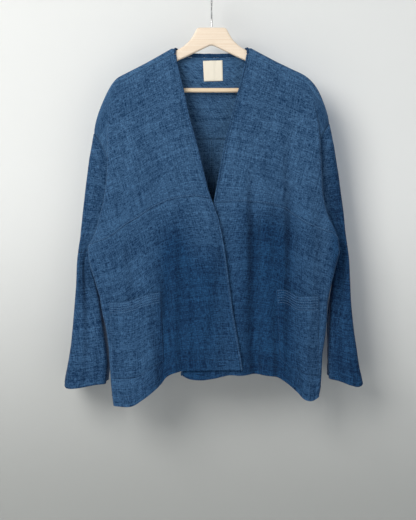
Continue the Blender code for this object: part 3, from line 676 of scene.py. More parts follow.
    def sleeve(self, columns: tuple[int, int] = (46, 62), spacing: float = 3.4) -> np.ndarray:
        """The grid of the sleeve: over the armhole's top, down both its edges, then closed.

        Args:
            columns: how many before and behind its outer edge.
            spacing: about how far apart its rows are.

        Returns:
            The grid, each row from the front seam round the outer edge to the back one.
        """
        s = self.side
        back_turns = [2.0] + [2 - 0.38 * k for k in (0.12, 0.34, 0.56, 0.78, 1)] + [
            ARMHOLE_TURN - (ARMHOLE_TURN - 1) * k for k in (0.25, 0.5, 0.75, 1)]

        def ahead_at(i: np.ndarray | float) -> np.ndarray:
            """Points down the armhole's front, 0 at its top and 9 at the underarm."""
            return self.ring(armhole_angles(i / 9))

        def behind_at(i: np.ndarray | float) -> np.ndarray:
            """The same down its back."""
            return self.ring(np.pi * np.interp(i, range(10), back_turns))

        grid = [np.vstack([ahead_at(np.linspace(2, 0, columns[0] + 1)),
                           behind_at(np.linspace(0, 2, columns[1] + 1)[1:])])]
        beside, below = 230, 290  # mm of the sleeve beside the armhole and below it
        top, cuff, under = self.ring(0.0)[2], s.sleeve_out[-1][2], self.ring(np.pi)
        ends = []
        for i in np.linspace(2, 9, int(beside / spacing))[1:]:
            ahead, behind = ahead_at(i), behind_at(i)
            ends.append((ahead, behind, (ahead[2] + behind[2]) / 2 - 4 * min(i - 2, 1)))
        last = ends[-1][2]
        for t in np.linspace(0, 1, int(below / spacing))[1:]:
            inner = smooth(s.sleeve_in, t)
            ends.append((inner, inner, last + (cuff - last) * t))
        for ahead, behind, z in ends:
            out = np.array([across(s.sleeve_out, z, 2, i) for i in (0, 1)] + [z])
            low = float(ease(1 - (min(ahead[2], behind[2]) - under[2]) / 90))
            tucked = 1 - float(ease((under[2] - ahead[2]) / 160))
            opening = np.pi * (0.65 + 0.35 * low)
            grid.append(self.sleeve_row(ahead, behind, out, opening, (top - z) / (top - cuff),
                                        tucked, columns))
        return self.crease(self.round_cuff(np.array(grid)))

    def round_cuff(self, grid: np.ndarray) -> np.ndarray:
        """The sleeve with the corners of its cuff rounded.

        Args:
            grid: the sleeve.

        Returns:
            The grid, its last rows lifted at both sides.
        """
        x, foot = grid[:, :, 0] * self.side.sign, grid[-1, :, 2].mean()
        outer, inner = x.max(axis=1, keepdims=True), x.min(axis=1, keepdims=True)
        lift = 12 * np.exp(-((outer - x) / 7) ** 2) + 6 * np.exp(-((x - inner) / 6) ** 2)
        low = ease((foot + 70 - grid[:, :, 2]) / 70)
        wave = 1.6 * np.sin(np.linspace(0, 5 * np.pi, grid.shape[1]))[None, :]
        grid[:, :, 2] += (lift + wave) * low
        return grid

    @staticmethod
    def sleeve_row(ahead: np.ndarray, behind: np.ndarray, out: np.ndarray, opening: float,
                   down: float, tucked: float, columns: tuple[int, int]) -> np.ndarray:
        """A row of the sleeve.

        Args:
            ahead, behind: its points on the front and the back seam.
            out: its point at the outer edge.
            opening: how far round it goes each way; a half turn closes it.
            down: its share of the sleeve's length.
            tucked: 1 where its front stays behind the turned edge of the body's front.
            columns: how many before and behind the outer edge.

        Returns:
            Its points, from the front seam to the back one.
        """
        parts = []
        for end, way, count in ((ahead, 1, columns[0]), (behind, 2, columns[1])):
            deep = float(across(SLEEVE_DEPTH, down, 0, way)) * (-1 if way == 1 else 1)
            a = opening * np.linspace(1, 0, count + 1)
            f = (1 - np.cos(a)) / (1 - np.cos(opening))
            p = out + (end - out) * f[:, None]
            bulge = np.maximum(np.sin(a), 0) ** 0.8
            if way == 1:
                bulge = bulge * np.cos(a / 2) ** (2.5 * tucked)
            p[:, 1] += deep * (bulge - bulge[0] * f)
            parts.append(p)
        return np.vstack([parts[0], parts[1][-2::-1]])

    def crease(self, grid: np.ndarray) -> np.ndarray:
        """The sleeve's grid with its folds and its small unevenness.

        Args:
            grid: the even sleeve.

        Returns:
            The grid with its points moved square to it.
        """
        place = np.linspace(0, 1, grid.shape[1])[None, :]
        z = grid[:, :, 2]
        total = SLEEVE_RUMPLE.hang(place * 300 + self.side.sign * 90, z) * 0.9
        for f in SLEEVE_FOLDS:
            k = (f.z_top - z) / (f.z_top - f.z_end)
            line = f.place_top + (f.place_end - f.place_top) * k + 0.012 * np.sin(k * 6)
            side = np.clip(1 - ((place - line) / f.half_width) ** 2, 0, 1) ** 2
            total = total - f.depth * side * ease(k / 0.4)
        held = ease(place / 0.06) * ease((1 - place) / 0.06)
        held = held * ease(np.arange(len(grid)) / 12)[:, None]
        return grid + normals(grid) * (total * held * self.side.sign)[:, :, None]


def over_ridge(low: np.ndarray, top: np.ndarray, q: np.ndarray, spread: float) -> np.ndarray:
    """Points round the shoulder.

    Args:
        low, top: the point on the front seam, and the one on the ridge above it.
        q: how far round, 0 at the front seam and 1 behind.
        spread: how far the line moves outwards on its way.

    Returns:
        One point for each q.
    """
    up = np.sqrt(np.clip(np.sin(np.pi * q), 0, 1))[:, None]
    p = low + (top - low) * up
    p[:, 1] = low[1] * np.cos(np.pi * q)
    p[:, 0] += np.sign(low[0]) * spread * (q - q[0]) / max(1 - q[0], 0.01)
    return p


class Column(NamedTuple):
    """A column of the back yoke, from a front seam or the neckline down to the yoke seam."""

    low: np.ndarray
    top: np.ndarray
    start: float
    share: float
    spread: float
    nearest: float


@dataclass(frozen=True)
class Yoke:
    """The back yoke, one piece that comes over both shoulders to the seams on the front."""

    right: Drape
    left: Drape
    flat: int = 46
    turned: int = 14
    rows: int = 84
    over: int = 12
    finer: int = 7

    def shares(self) -> np.ndarray:
        """How far down the armhole's back each row ends."""
        first, rest = np.linspace(0, 0.12, self.over + 1), self.rows - self.over
        return np.append(first, np.linspace(0.12, 1, rest + 1)[1:])

    def shoulder_columns(self, drape: Drape) -> list[Column]:
        """The columns of one shoulder.

        Args:
            drape: that side.

        Returns:
            Its columns, from the neck point outwards.
        """
        seam, ridge = drape.ridge_line(self.flat, self.turned)
        run = lengths(seam)
        neck_u = abs(seam[0, 0] / drape.back_edge(0)[0])
        far = np.abs(seam[:, 0] - seam[0, 0]) / NECK_SPREAD[1]
        spread = NECK_SPREAD[0] * np.clip(1 - far, 0, 1)
        columns = []
        for i in range(len(seam)):
            j = len(seam) - 1 - i
            near = j * 4 / self.turned
            if j > self.turned:
                near = 4 + (j - self.turned) * 10 / self.flat
            share = neck_u + (1 - neck_u) * run[i] / run[-1]
            columns.append(Column(seam[i], ridge[i], 0.0, share, spread[i],
                                  max(1 - near / 7, 0) ** 2))
        return columns

    def neck_columns(self) -> list[tuple[Drape, Column]]:
        """The columns between the neck points, from the right side to the left."""
        rows = np.array(NECKLINE, float)
        k = np.linspace(0, len(rows) - 1, (len(rows) - 1) * self.finer + 1)
        rows = np.column_stack([np.interp(k, np.arange(len(rows)), c) for c in rows.T])
        columns = []
        inwards = range(len(rows))
        for drape, order in ((self.right, inwards), (self.left, inwards[-2::-1])):
            seam, ridge = drape.ridge_line(self.flat, self.turned)
            for i in order:
                share, q, z, spread = rows[i]
                foot = abs(seam[0, 0] / drape.back_edge(0)[0]) * (1 - (i + 1) / len(rows))
                low, top = seam[0].copy(), ridge[0].copy()
                low[0] = top[0] = seam[0, 0] * share
                level = float(ease((q - 0.7) / 0.3))
                low[2] += (z - low[2]) * level
                top[2] += (z - top[2]) * level
                columns.append((drape, Column(low, top, q, foot, spread, 0.0)))
        return columns

    def path(self, drape: Drape, column: Column) -> np.ndarray:
        """One column: over the ridge, then down to the yoke seam.

        Args:
            drape: its side.
            column: where it starts and ends.

        Returns:
            Its points.
        """
        shares = self.shares()
        arc = drape.ring(np.pi * (2 - (2 - ARMHOLE_TURN) * shares))
        if column.nearest == 1:
            return arc
        end = drape.back_row(np.array([column.share]), 0.0)[0]
        count = 17 if column.start < 1 else 1
        q = np.linspace(column.start, 1, count)
        wrap = over_ridge(column.low, column.top, q, column.spread)
        k = np.linspace(0, 1, 60)[1:, None]
        start = wrap[-1]
        fall = start + (end - start) * k
        held = ease(k[:, 0] * np.linalg.norm(end - start) / 90)
        fall[:, 1] = start[1] + (back_y(fall[:, 0], fall[:, 2]) - start[1]) * held
        fall[:, 1] += (end[1] - fall[-1, 1]) * ease((k[:, 0] - 0.3) / 0.7)
        path = np.vstack([wrap, fall])
        run = lengths(path)
        first = max(np.linalg.norm(np.diff(wrap, axis=0), axis=1).sum(), 14.0)
        rest = self.rows - self.over
        at = np.concatenate([np.linspace(0, first, self.over + 1),
                             np.linspace(first, run[-1], rest + 1)[1:]])
        line = read_line(path, run, at)
        share = shares[:, None]
        return line + (arc - arc[0] - (arc[-1] - arc[0]) * share) * column.nearest

    def grid(self) -> np.ndarray:
        """The yoke's grid, from the right armhole to the left."""
        right, left = ([self.path(drape, c) for c in self.shoulder_columns(drape)]
                       for drape in (self.right, self.left))
        middle = [self.path(d, c) for d, c in self.neck_columns()]
        return np.array(right[:0:-1] + middle + left[1:]).transpose(1, 0, 2)


def normals(grid: np.ndarray) -> np.ndarray:
    """Unit normals of a grid, the same way as its columns cross its rows.

    Args:
        grid: rows and columns of points.

    Returns:
        One normal for each point.
    """
    n = unit(np.cross(np.gradient(grid, axis=1), np.gradient(grid, axis=0)))
    for row, column in ((0, 0), (0, -1), (-1, 0), (-1, -1)):
        n[row, column] = n[2 if row == 0 else -3, 2 if column == 0 else -3]
    return n


def linear(code: str) -> tuple[float, float, float, float]:
    """An sRGB hex colour as linear red, green and blue, with alpha 1.

    Args:
        code: such as "#3B5F86".

    Returns:
        The four numbers that Blender's sockets take.
    """
    values = [int(code[i:i + 2], 16) / 255 for i in (1, 3, 5)]
    r, g, b = (v / 12.92 if v <= 0.04045 else ((v + 0.055) / 1.055) ** 2.4 for v in values)
    return r, g, b, 1.0


def add_node(material: bpy.types.Material, kind: str, feeds: dict | None = None,
             **settings: object) -> bpy.types.Node:
    """Adds a node with its settings and links.

    Args:
        material: the material it is added to.
        kind: the node's type, without the word ShaderNode.
        feeds: for a socket's name or number, its value or the socket that feeds it.
        settings: the node's own settings.

    Returns:
        The node.
    """
    tree = material.node_tree
    node = tree.nodes.new("ShaderNode" + kind)
    for name, value in settings.items():
        setattr(node, name, value)
    for socket, value in (feeds or {}).items():
        if isinstance(value, bpy.types.NodeSocket):
            tree.links.new(value, node.inputs[socket])
        else:
            node.inputs[socket].default_value = value
    return node


def new_material(name: str) -> tuple[bpy.types.Material, bpy.types.Node]:
    """A material with only its output.

    Args:
        name: what it is called.

    Returns:
        The material and its output node.
    """
    material = bpy.data.materials.new(name)
    material.use_nodes = True
    material.node_tree.nodes.clear()
    return material, add_node(material, "OutputMaterial")


@dataclass(frozen=True)
class HandwovenIndigo:
    """Hand-woven cotton, dyed in the yarn with indigo and washed.

    The eye sees short paler and darker dashes along both yarns, soft and matt, with a faint
    bloom of loose fibre, broad uneven patches of dye and bands where the weft changed.
    """

    name: str
    pale: str = "#4C7299"
    deep: str = "#0A2D50"
    middle: float = 0.45  # 0 is all deep and 1 all pale
    contrast: float = 2.5
    yarn: float = 1.7  # mm; the yarns are 0.5 mm apart, drawn coarser so that they show
    dash: float = 9.0  # mm, how far a dash runs along its yarn
    relief: float = 0.5
    tint: str = "#7FB0C6"  # what the painted shade and the tone by height are multiplied by
    bloom: str = "#9FB6D0"

    def make(self) -> bpy.types.Material:
        """The material.

        Returns:
            A material whose pattern lies on the mesh's own layout, which is in millimetres.
        """
        m, out = new_material(self.name)
        uv = add_node(m, "UVMap", uv_map="weave").outputs["UV"]
        parts = []
        for size, detail, weight in (
                ((self.yarn, self.dash), 2.0, 0.60), ((self.dash, self.yarn), 2.0, 0.68),
                ((self.yarn * 1.6, 70.0), 1.0, 0.34), ((60.0, self.yarn * 1.8), 1.0, 0.30),
                ((self.yarn * 1.2, self.yarn * 1.2), 1.0, 0.46), ((400.0, 13.0), 1.5, 0.28),
                ((42.0, 85.0), 2.0, 0.17)):
            place = add_node(m, "Mapping", {"Vector": uv, "Location": (size[1] * 3, size[0], 0),
                                            "Scale": (1 / size[0], 1 / size[1], 1)})
            noise = add_node(m, "TexNoise", {"Vector": place.outputs["Vector"], "Scale": 1.0,
                                             "Detail": detail, "Roughness": 0.6})
            parts.append((noise.outputs[0], weight))
        total: object = self.middle - sum(w for _, w in parts) * 0.5 * self.contrast
        heights: list = []
        for socket, weight in parts:
            total = add_node(m, "Math", {0: socket, 1: weight * self.contrast, 2: total},
                             operation="MULTIPLY_ADD").outputs[0]
            heights.append(total)
        # the tone by height and the painted shade, from the piece's own attribute
        tone_and_shade = add_node(m, "Attribute", attribute_name="tone_and_painted_shade").outputs["Fac"]
        woven = add_node(m, "Mix", {0: total, 6: linear(self.deep), 7: linear(self.pale)},
                         data_type="RGBA")
        shade_share = add_node(m, "Math", {0: tone_and_shade, 1: -2.0}, operation="MULTIPLY", use_clamp=True)
        colour = add_node(m, "Mix", {0: shade_share.outputs[0], 6: woven.outputs[2],
                                     7: linear(self.tint)}, data_type="RGBA",
                          blend_type="MULTIPLY")
        yarns = heights[4]  # the first five patterns, without the bands and patches of dye
        bump = add_node(m, "Bump", {"Height": yarns, "Strength": self.relief,
                                    "Distance": 0.0005})
        shader = add_node(m, "BsdfPrincipled", {
            "Base Color": colour.outputs[2], "Roughness": 0.92, "IOR": 1.46,
            "Specular IOR Level": 0.15, "Sheen Weight": 0.08, "Sheen Roughness": 0.55,
            "Sheen Tint": linear(self.bloom), "Normal": bump.outputs["Normal"]})
        m.node_tree.links.new(shader.outputs[0], out.inputs["Surface"])
        return m


@dataclass(frozen=True)
class DyedThread:
    """Twisted cotton sewing thread, dyed and matt: small soft dashes with a faint shine."""

    name: str
    colour: str
    roughness: float = 0.75

    def make(self) -> bpy.types.Material:
        """The material, with a twist drawn across the thread.

        Returns:
            A material with one colour and small uneven darker turns.
        """
        m, out = new_material(self.name)
        at = add_node(m, "TexCoord").outputs["Object"]
        twist = add_node(m, "TexNoise", {"Vector": at, "Scale": 900.0, "Detail": 1.0})
        dark = tuple(c * 0.62 for c in linear(self.colour)[:3]) + (1.0,)
        colour = add_node(m, "Mix", {0: twist.outputs[0], 6: dark, 7: linear(self.colour)},
                          data_type="RGBA")
        shader = add_node(m, "BsdfPrincipled", {
            "Base Color": colour.outputs[2], "Roughness": self.roughness, "IOR": 1.5,
            "Specular IOR Level": 0.3})
        m.node_tree.links.new(shader.outputs[0], out.inputs["Surface"])
        return m


@dataclass(frozen=True)
class WovenTape:
    """Undyed cotton tape, woven close and pressed: warm white with a fine even grid."""

    name: str = "undyed_cotton_tape"
    colour: str = "#F8F2E2"
    yarn: float = 0.8  # mm; the real yarns are 0.25 mm apart, drawn coarser so that they show
    wave: float = 159.0  # a wave texture's scale for one yarn over and one under, of 1 mm

    def make(self) -> bpy.types.Material:
        """The material.

        Returns:
            A material with a fine weave in its colour and its relief.
        """
        m, out = new_material(self.name)
        at = add_node(m, "TexCoord").outputs["Object"]
        yarns = [add_node(m, "TexWave", {"Vector": at, "Scale": self.wave / self.yarn,
                                         "Distortion": 0.4}, bands_direction=way)
                 for way in ("X", "Z")]
        grid = add_node(m, "Math", {i: y.outputs["Fac"] for i, y in enumerate(yarns)},
                        operation="MULTIPLY")
        shade = tuple(c * 0.92 for c in linear(self.colour)[:3]) + (1.0,)
        colour = add_node(m, "Mix", {0: grid.outputs[0], 6: shade, 7: linear(self.colour)},
                          data_type="RGBA")
        bump = add_node(m, "Bump", {"Height": grid.outputs[0], "Strength": 0.3,
                                    "Distance": 0.0002})
        shader = add_node(m, "BsdfPrincipled", {
            "Base Color": colour.outputs[2], "Roughness": 0.85, "IOR": 1.46,
            "Specular IOR Level": 0.25, "Normal": bump.outputs["Normal"]})
        m.node_tree.links.new(shader.outputs[0], out.inputs["Surface"])
        return m


@dataclass(frozen=True)
class SandedBeech:
    """Beech, sanded and thinly lacquered: pale and even, with fine grain along its length."""

    name: str = "sanded_lacquered_beech"
    pale: str = "#F6E6D2"
    grain: str = "#DDBF98"
    spacing: float = 3.0  # mm between the growth lines

    def make(self) -> bpy.types.Material:
        """The material.

        Returns:
            A material with growth lines and short flecks along X.
        """
        m, out = new_material(self.name)
        at = add_node(m, "TexCoord").outputs["Object"]
        lines = add_node(m, "Mapping", {"Vector": at, "Scale": (6, 500 / self.spacing,
                                                                1000 / self.spacing)})
        growth = add_node(m, "TexNoise", {"Vector": lines.outputs[0], "Scale": 1.0,
                                          "Detail": 3.0})
        short = add_node(m, "Mapping", {"Vector": at, "Scale": (300, 2200, 2200)})
        flecks = add_node(m, "TexNoise", {"Vector": short.outputs[0], "Scale": 1.0})
        seen = add_node(m, "Math", {0: flecks.outputs[0], 1: 0.35, 2: growth.outputs[0]},
                        operation="MULTIPLY_ADD")
        share = add_node(m, "MapRange", {0: seen.outputs[0], 1: 0.55, 2: 1.5})
        colour = add_node(m, "Mix", {0: share.outputs[0], 6: linear(self.pale),
                                     7: linear(self.grain)}, data_type="RGBA")
        bump = add_node(m, "Bump", {"Height": seen.outputs[0], "Strength": 0.12,
                                    "Distance": 0.0002})
        shader = add_node(m, "BsdfPrincipled", {
            "Base Color": colour.outputs[2], "Roughness": 0.42, "IOR": 1.5,
            "Coat Weight": 0.2, "Coat Roughness": 0.3, "Normal": bump.outputs["Normal"]})
        m.node_tree.links.new(shader.outputs[0], out.inputs["Surface"])
        return m


@dataclass(frozen=True)
class DrawnSteel:
    """Steel wire, drawn, bent and nickel plated: bright, with faint lines along it."""

    name: str = "plated_steel_wire"
    colour: str = "#C9CACB"

    def make(self) -> bpy.types.Material:
        """The material.

        Returns:
            A metal with a little uneven roughness.
        """
        m, out = new_material(self.name)
        at = add_node(m, "TexCoord").outputs["Object"]
        wear = add_node(m, "TexNoise", {"Vector": at, "Scale": 420.0, "Detail": 2.0})
        rough = add_node(m, "MapRange", {0: wear.outputs[0], 3: 0.2, 4: 0.36})
        shader = add_node(m, "BsdfPrincipled", {
            "Base Color": linear(self.colour), "Metallic": 1.0,
            "Roughness": rough.outputs[0]})
        m.node_tree.links.new(shader.outputs[0], out.inputs["Surface"])
        return m


@dataclass(frozen=True)
class StudioPaint:
    """Matt wall paint, rolled: pale and even, with painted shade that darkens it downwards, where
    the light falls off.

    Seen from behind it lets the view through, so that the back of the haori can be seen.
    """

    name: str
    top: str = "#EAEDED"
    # the foot's colour is painted shade, where the light falls off downwards
    foot: str = "#A6A9A8"
    from_behind: bool = True
    heights: tuple[float, float] = (-0.35, -1.15)  # m, where the painted shade starts and ends to darken it

    def make(self) -> bpy.types.Material:
        """The material.

        Returns:
            A plain matt material.
        """
        m, out = new_material(self.name)
        place = add_node(m, "NewGeometry")
        height = add_node(m, "SeparateXYZ", {0: place.outputs["Position"]})
        share = add_node(m, "MapRange", {0: height.outputs["Z"], 1: self.heights[0],
                                         2: self.heights[1]}, interpolation_type="SMOOTHSTEP")
        colour = add_node(m, "Mix", {0: share.outputs[0], 6: linear(self.top),
                                     7: linear(self.foot)}, data_type="RGBA")
        front = add_node(m, "BsdfPrincipled", {"Base Color": colour.outputs[2],
                                               "Roughness": 0.9,
                                               "Specular IOR Level": 0.1}).outputs[0]
        if self.from_behind:
            clear = add_node(m, "BsdfTransparent")
            front = add_node(m, "MixShader", {0: place.outputs["Backfacing"], 1: front,
                                              2: clear.outputs[0]}).outputs[0]
        m.node_tree.links.new(front, out.inputs["Surface"])
        return m


class Cotton(Enum):
    """The lots of indigo cloth; each piece keeps to one."""

    BODY = HandwovenIndigo("handwoven_indigo_body")
    SLEEVES = HandwovenIndigo("handwoven_indigo_sleeves", middle=0.35)
    LINING_SIDE = HandwovenIndigo("handwoven_indigo_back", middle=0.56)
    POCKETS = HandwovenIndigo("handwoven_indigo_pockets", middle=0.46)
    BINDING = HandwovenIndigo("handwoven_indigo_binding", middle=0.34, yarn=1.2, dash=4.0)
    # drawn far darker than the edge binding, for the dark band along the back neck
    NECK_BINDING = HandwovenIndigo("handwoven_indigo_neck_binding", middle=0.1, contrast=0.7,
                                   yarn=1.2, dash=4.0)


class Yarn(Enum):
    """The sewing threads."""

    PALE = DyedThread("indigo_thread_pale", "#5F83AB")
    MIDDLE = DyedThread("indigo_thread_middle", "#2E527B")
    DARK = DyedThread("indigo_thread_dark", "#142E50")
    UNDYED = DyedThread("undyed_thread", "#E4DCC8")


class Wardrobe:
    """Makes each finish once, when it is first asked for."""

    def __init__(self) -> None:
        """Starts with no finish made."""
        self.made: dict[str, bpy.types.Material] = {}

    def of(self, finish: object) -> bpy.types.Material:
        """The material of a finish.

        Args:
            finish: one of the finishes, or a member of Cotton or Yarn.

        Returns:
            Its material.
        """
        plain = finish.value if isinstance(finish, Enum) else finish
        if plain.name not in self.made:
            self.made[plain.name] = plain.make()
        return self.made[plain.name]


def smooth_piece(name: str, points: np.ndarray, faces: Sequence[Sequence[int]],
                 material: bpy.types.Material,
                 layout: np.ndarray | None = None) -> bpy.types.Object:
    """Makes a smooth piece.

    Args:
        name: what it is called.
        points: its points in mm.
        faces: the points of each face.
        material: its finish.
        layout: where each point lies on the woven pattern, if it has one.

    Returns:
        The piece.
    """
    mesh = bpy.data.meshes.new(name)
    mesh.from_pydata((points.reshape(-1, 3) * MM).tolist(), [], faces)
    mesh.polygons.foreach_set("use_smooth", [True] * len(faces))
    if layout is not None:
        uv = mesh.uv_layers.new(name="weave")
        uv.data.foreach_set("uv", layout[[i for face in faces for i in face]].ravel())
    mesh.materials.append(material)
    piece = bpy.data.objects.new(name, mesh)
    bpy.context.collection.objects.link(piece)
    return piece


def thicken(piece: bpy.types.Object, thick: float) -> None:
    """Gives a sheet its thickness, inwards from its outer face.

    Args:
        piece: the sheet.
        thick: how thick, in mm.
    """
    wall = piece.modifiers.new("thickness", "SOLIDIFY")
    wall.thickness, wall.offset = thick * MM, -1.0


def weave_layout(grid: np.ndarray) -> np.ndarray:
    """Where each point of a piece lies along the weft and the warp, in mm.

    Args:
        grid: the piece.

    Returns:
        Two numbers for each point, the warp's the same along each row.
    """
    over = np.linalg.norm(np.diff(grid, axis=1), axis=2)
    down = np.linalg.norm(np.diff(grid, axis=0), axis=2).mean(axis=1)
    u = np.concatenate([np.zeros((len(grid), 1)), np.cumsum(over, axis=1)], axis=1)
    v = np.concatenate([[0], np.cumsum(down)])
    return np.stack([u, np.broadcast_to(v[:, None], u.shape)], axis=-1).reshape(-1, 2)


class Sewn(NamedTuple):
    """How a piece of cloth was cut: the size of its rectangle and its own area."""

    width: float
    length: float
    area: float


@dataclass
class Panel:
    """A piece of cloth over a grid of points."""

    name: str
    grid: np.ndarray
    outwards: int
    finish: Cotton
    cut: Sewn
    rests_on: tuple[str, ...] = ("hanger_wood",)
    thick: float = CLOTH_THICK
    slot: str = "indigo_cloth"

    def build(self, wardrobe: Wardrobe) -> bpy.types.Object:
        """Makes the piece, with its cloth's thickness inwards.

        Args:
            wardrobe: the finishes.

        Returns:
            The piece.
        """
        faces = grid_faces(self.grid, self.outwards)
        piece = smooth_piece(self.name + "_cloth", self.grid, faces, wardrobe.of(self.finish),
                             weave_layout(self.grid))
        # the tone by height and the painted shade, which the cloth's material darkens by
        tone_and_shade = piece.data.attributes.new("tone_and_painted_shade", "FLOAT", "POINT")
        tone_and_shade.data.foreach_set("value", tone_and_shade_of(self.grid).astype(np.float32).ravel())
        thicken(piece, self.thick)
        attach(piece, "root")
        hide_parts(self.name)
        log.info("%s: %d faces", self.name, len(faces))
        return piece

    def line(self, offset: float, edge: str, start: float = 0.0, end: float = 1.0,
             lift: float = 0.15) -> tuple[np.ndarray, np.ndarray]:
        """A line over the cloth beside one of its edges, for a row of stitches.

        Args:
            offset: how far from the edge, in mm.
            edge: "top", "foot", "first" or "last", for rows and columns.
            start, end: where along the edge it begins and ends, as shares.
            lift: how far off the cloth.

        Returns:
            The line's points and the cloth's normals there.
        """
        g, n = self.grid, normals(self.grid) * self.outwards
        if edge in ("first", "last"):
            g, n = g.transpose(1, 0, 2), n.transpose(1, 0, 2)
        if edge in ("foot", "last"):
            g, n = g[::-1], n[::-1]
        run = down_columns(g)
        at = np.array([np.interp(offset, run[:, c], np.arange(len(g)))
                       for c in range(g.shape[1])])
        k, w = np.floor(at).astype(int), (at % 1)[:, None]
        up = np.minimum(k + 1, len(g) - 1)
        c = np.arange(g.shape[1])
        points = g[k, c] * (1 - w) + g[up, c] * w
        out = unit(n[k, c] * (1 - w) + n[up, c] * w)
        a, b = int(start * (len(c) - 1)), int(math.ceil(end * (len(c) - 1))) + 1
        return points[a:b] + out[a:b] * lift, out[a:b]


def tone_and_shade_of(grid: np.ndarray) -> np.ndarray:
    """How much paler than its lot the cloth is: lighter at the shoulders and darker lower down,
    with painted shade over the fronts' folds and the left sleeve, and random patches of tone.

    Args:
        grid: points in mm.

    Returns:
        One number for each point.
    """
    x, z = grid[:, :, 0], grid[:, :, 2]
    # tone by height: lighter at the shoulders, darker lower down
    tone_and_painted_shade = across(TONE_BY_HEIGHT, z)
    # painted shade in the fronts' folds
    for middle, wide, start, depth in PAINTED_FOLD_SHADE:
        bell = np.exp(-((x - middle) / wide) ** 2)
        tone_and_painted_shade = tone_and_painted_shade - 1.25 * depth * bell * ease((-z - start) / 130)
    # painted shade over the left sleeve, on its side away from the light
    tone_and_painted_shade = tone_and_painted_shade - 0.3 * ease((x - 232) / 20) * ease((-z - 250) / 150)
    patches = BODY_RUMPLE.noise(x / 60 + 40, z / 110 + 20) * 0.04
    return tone_and_painted_shade + patches


def seam_relief(grid: np.ndarray, outwards: int, edge: str, profile: Table) -> np.ndarray:
    """The grid with its cloth lifted beside an edge, where its seam is folded under it.

    Args:
        grid: the piece.
        outwards: 1 where the grid's normals are its outer side.
        edge: "top", "foot", "first" or "last".
        profile: distance from the edge and lift there, in mm.

    Returns:
        The changed grid.
    """
    g = grid if edge in ("top", "foot") else grid.transpose(1, 0, 2)
    g = g if edge in ("top", "first") else g[::-1]
    run = down_columns(g)
    lift = np.interp(run, *np.array(profile, float).T)
    pucker = 1 + 0.5 * BODY_RUMPLE.noise(g[:, :, 0] / 5 + g[:, :, 2] / 5, run / 6)
    lift = lift * pucker
    lift = lift if edge in ("top", "first") else lift[::-1]
    lift = lift if edge in ("top", "foot") else lift.T
    return grid + normals(grid) * (lift * outwards)[:, :, None]


def hem_profile(depth: float) -> Table:
    """Distance from the edge and lift there for a hem that is turned up to a depth."""
    return (0, 0.5), (depth - 2.2, 0.5), (depth - 0.6, 0.75), (depth + 0.8, 0)


@dataclass(frozen=True)
class StitchRow:
    """A row of hand stitches: short rounded dashes of thread that dip into the cloth."""

    points: np.ndarray
    out: np.ndarray
    length: float = 2.4
    gap: float = 1.0
    radius: float = 0.34
    around: int = 5

    def mesh(self, first: int, seed: int) -> tuple[list, list]:
        """The row's stitches.

        Args:
            first: how many points come before its own.
            seed: which of the uneven spacings.

        Returns:
            Its points in mm and its faces.
        """
        rng = np.random.default_rng(seed)
        run = lengths(self.points)
        points, faces, at = [], [], self.gap
        a = np.arange(self.around) * 2 * np.pi / self.around
        wide = self.radius * np.array([0.45, 0.95, 1.05, 0.95, 0.45])
        turns = np.linspace(0, 1, len(wide))
        while at + self.length < run[-1]:
            long = self.length * (0.85 + 0.3 * rng.random())
            s = at + turns * long
            centre = read_line(self.points, run, s)
            up = unit(read_line(self.out, run, s))
            centre = centre + up * ((np.sin(np.pi * turns) ** 0.6 - 0.75) * self.radius)[:, None]
            along = unit(np.gradient(centre, axis=0))
            side = unit(np.cross(along, up))
            loop = (side[:, None] * np.cos(a)[None, :, None]
                    + up[:, None] * np.sin(a)[None, :, None] * 0.8)
            faces += rod_faces(len(wide), self.around, first + len(points))
            points.extend((centre[:, None] + loop * wide[:, None, None]).reshape(-1, 3))
            at += long + self.gap * (0.8 + 0.4 * rng.random())
        return points, faces


def sew(name: str, rows: Sequence[StitchRow], thread: Yarn, wardrobe: Wardrobe) -> bpy.types.Object:
    """Makes rows of stitches as one piece.

    Args:
        name: the piece's name.
        rows: the rows.
        thread: what they are sewn with.
        wardrobe: the finishes.

    Returns:
        The piece.
    """
    points, faces = [], []
    for i, row in enumerate(rows):
        p, f = row.mesh(len(points), i + 3)
        points += p
        faces += f
    piece = smooth_piece(name, np.array(points), faces, wardrobe.of(thread))
    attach(piece, "root")
    log.info("%s: %d rows, %d faces", name, len(rows), len(faces))
    return piece


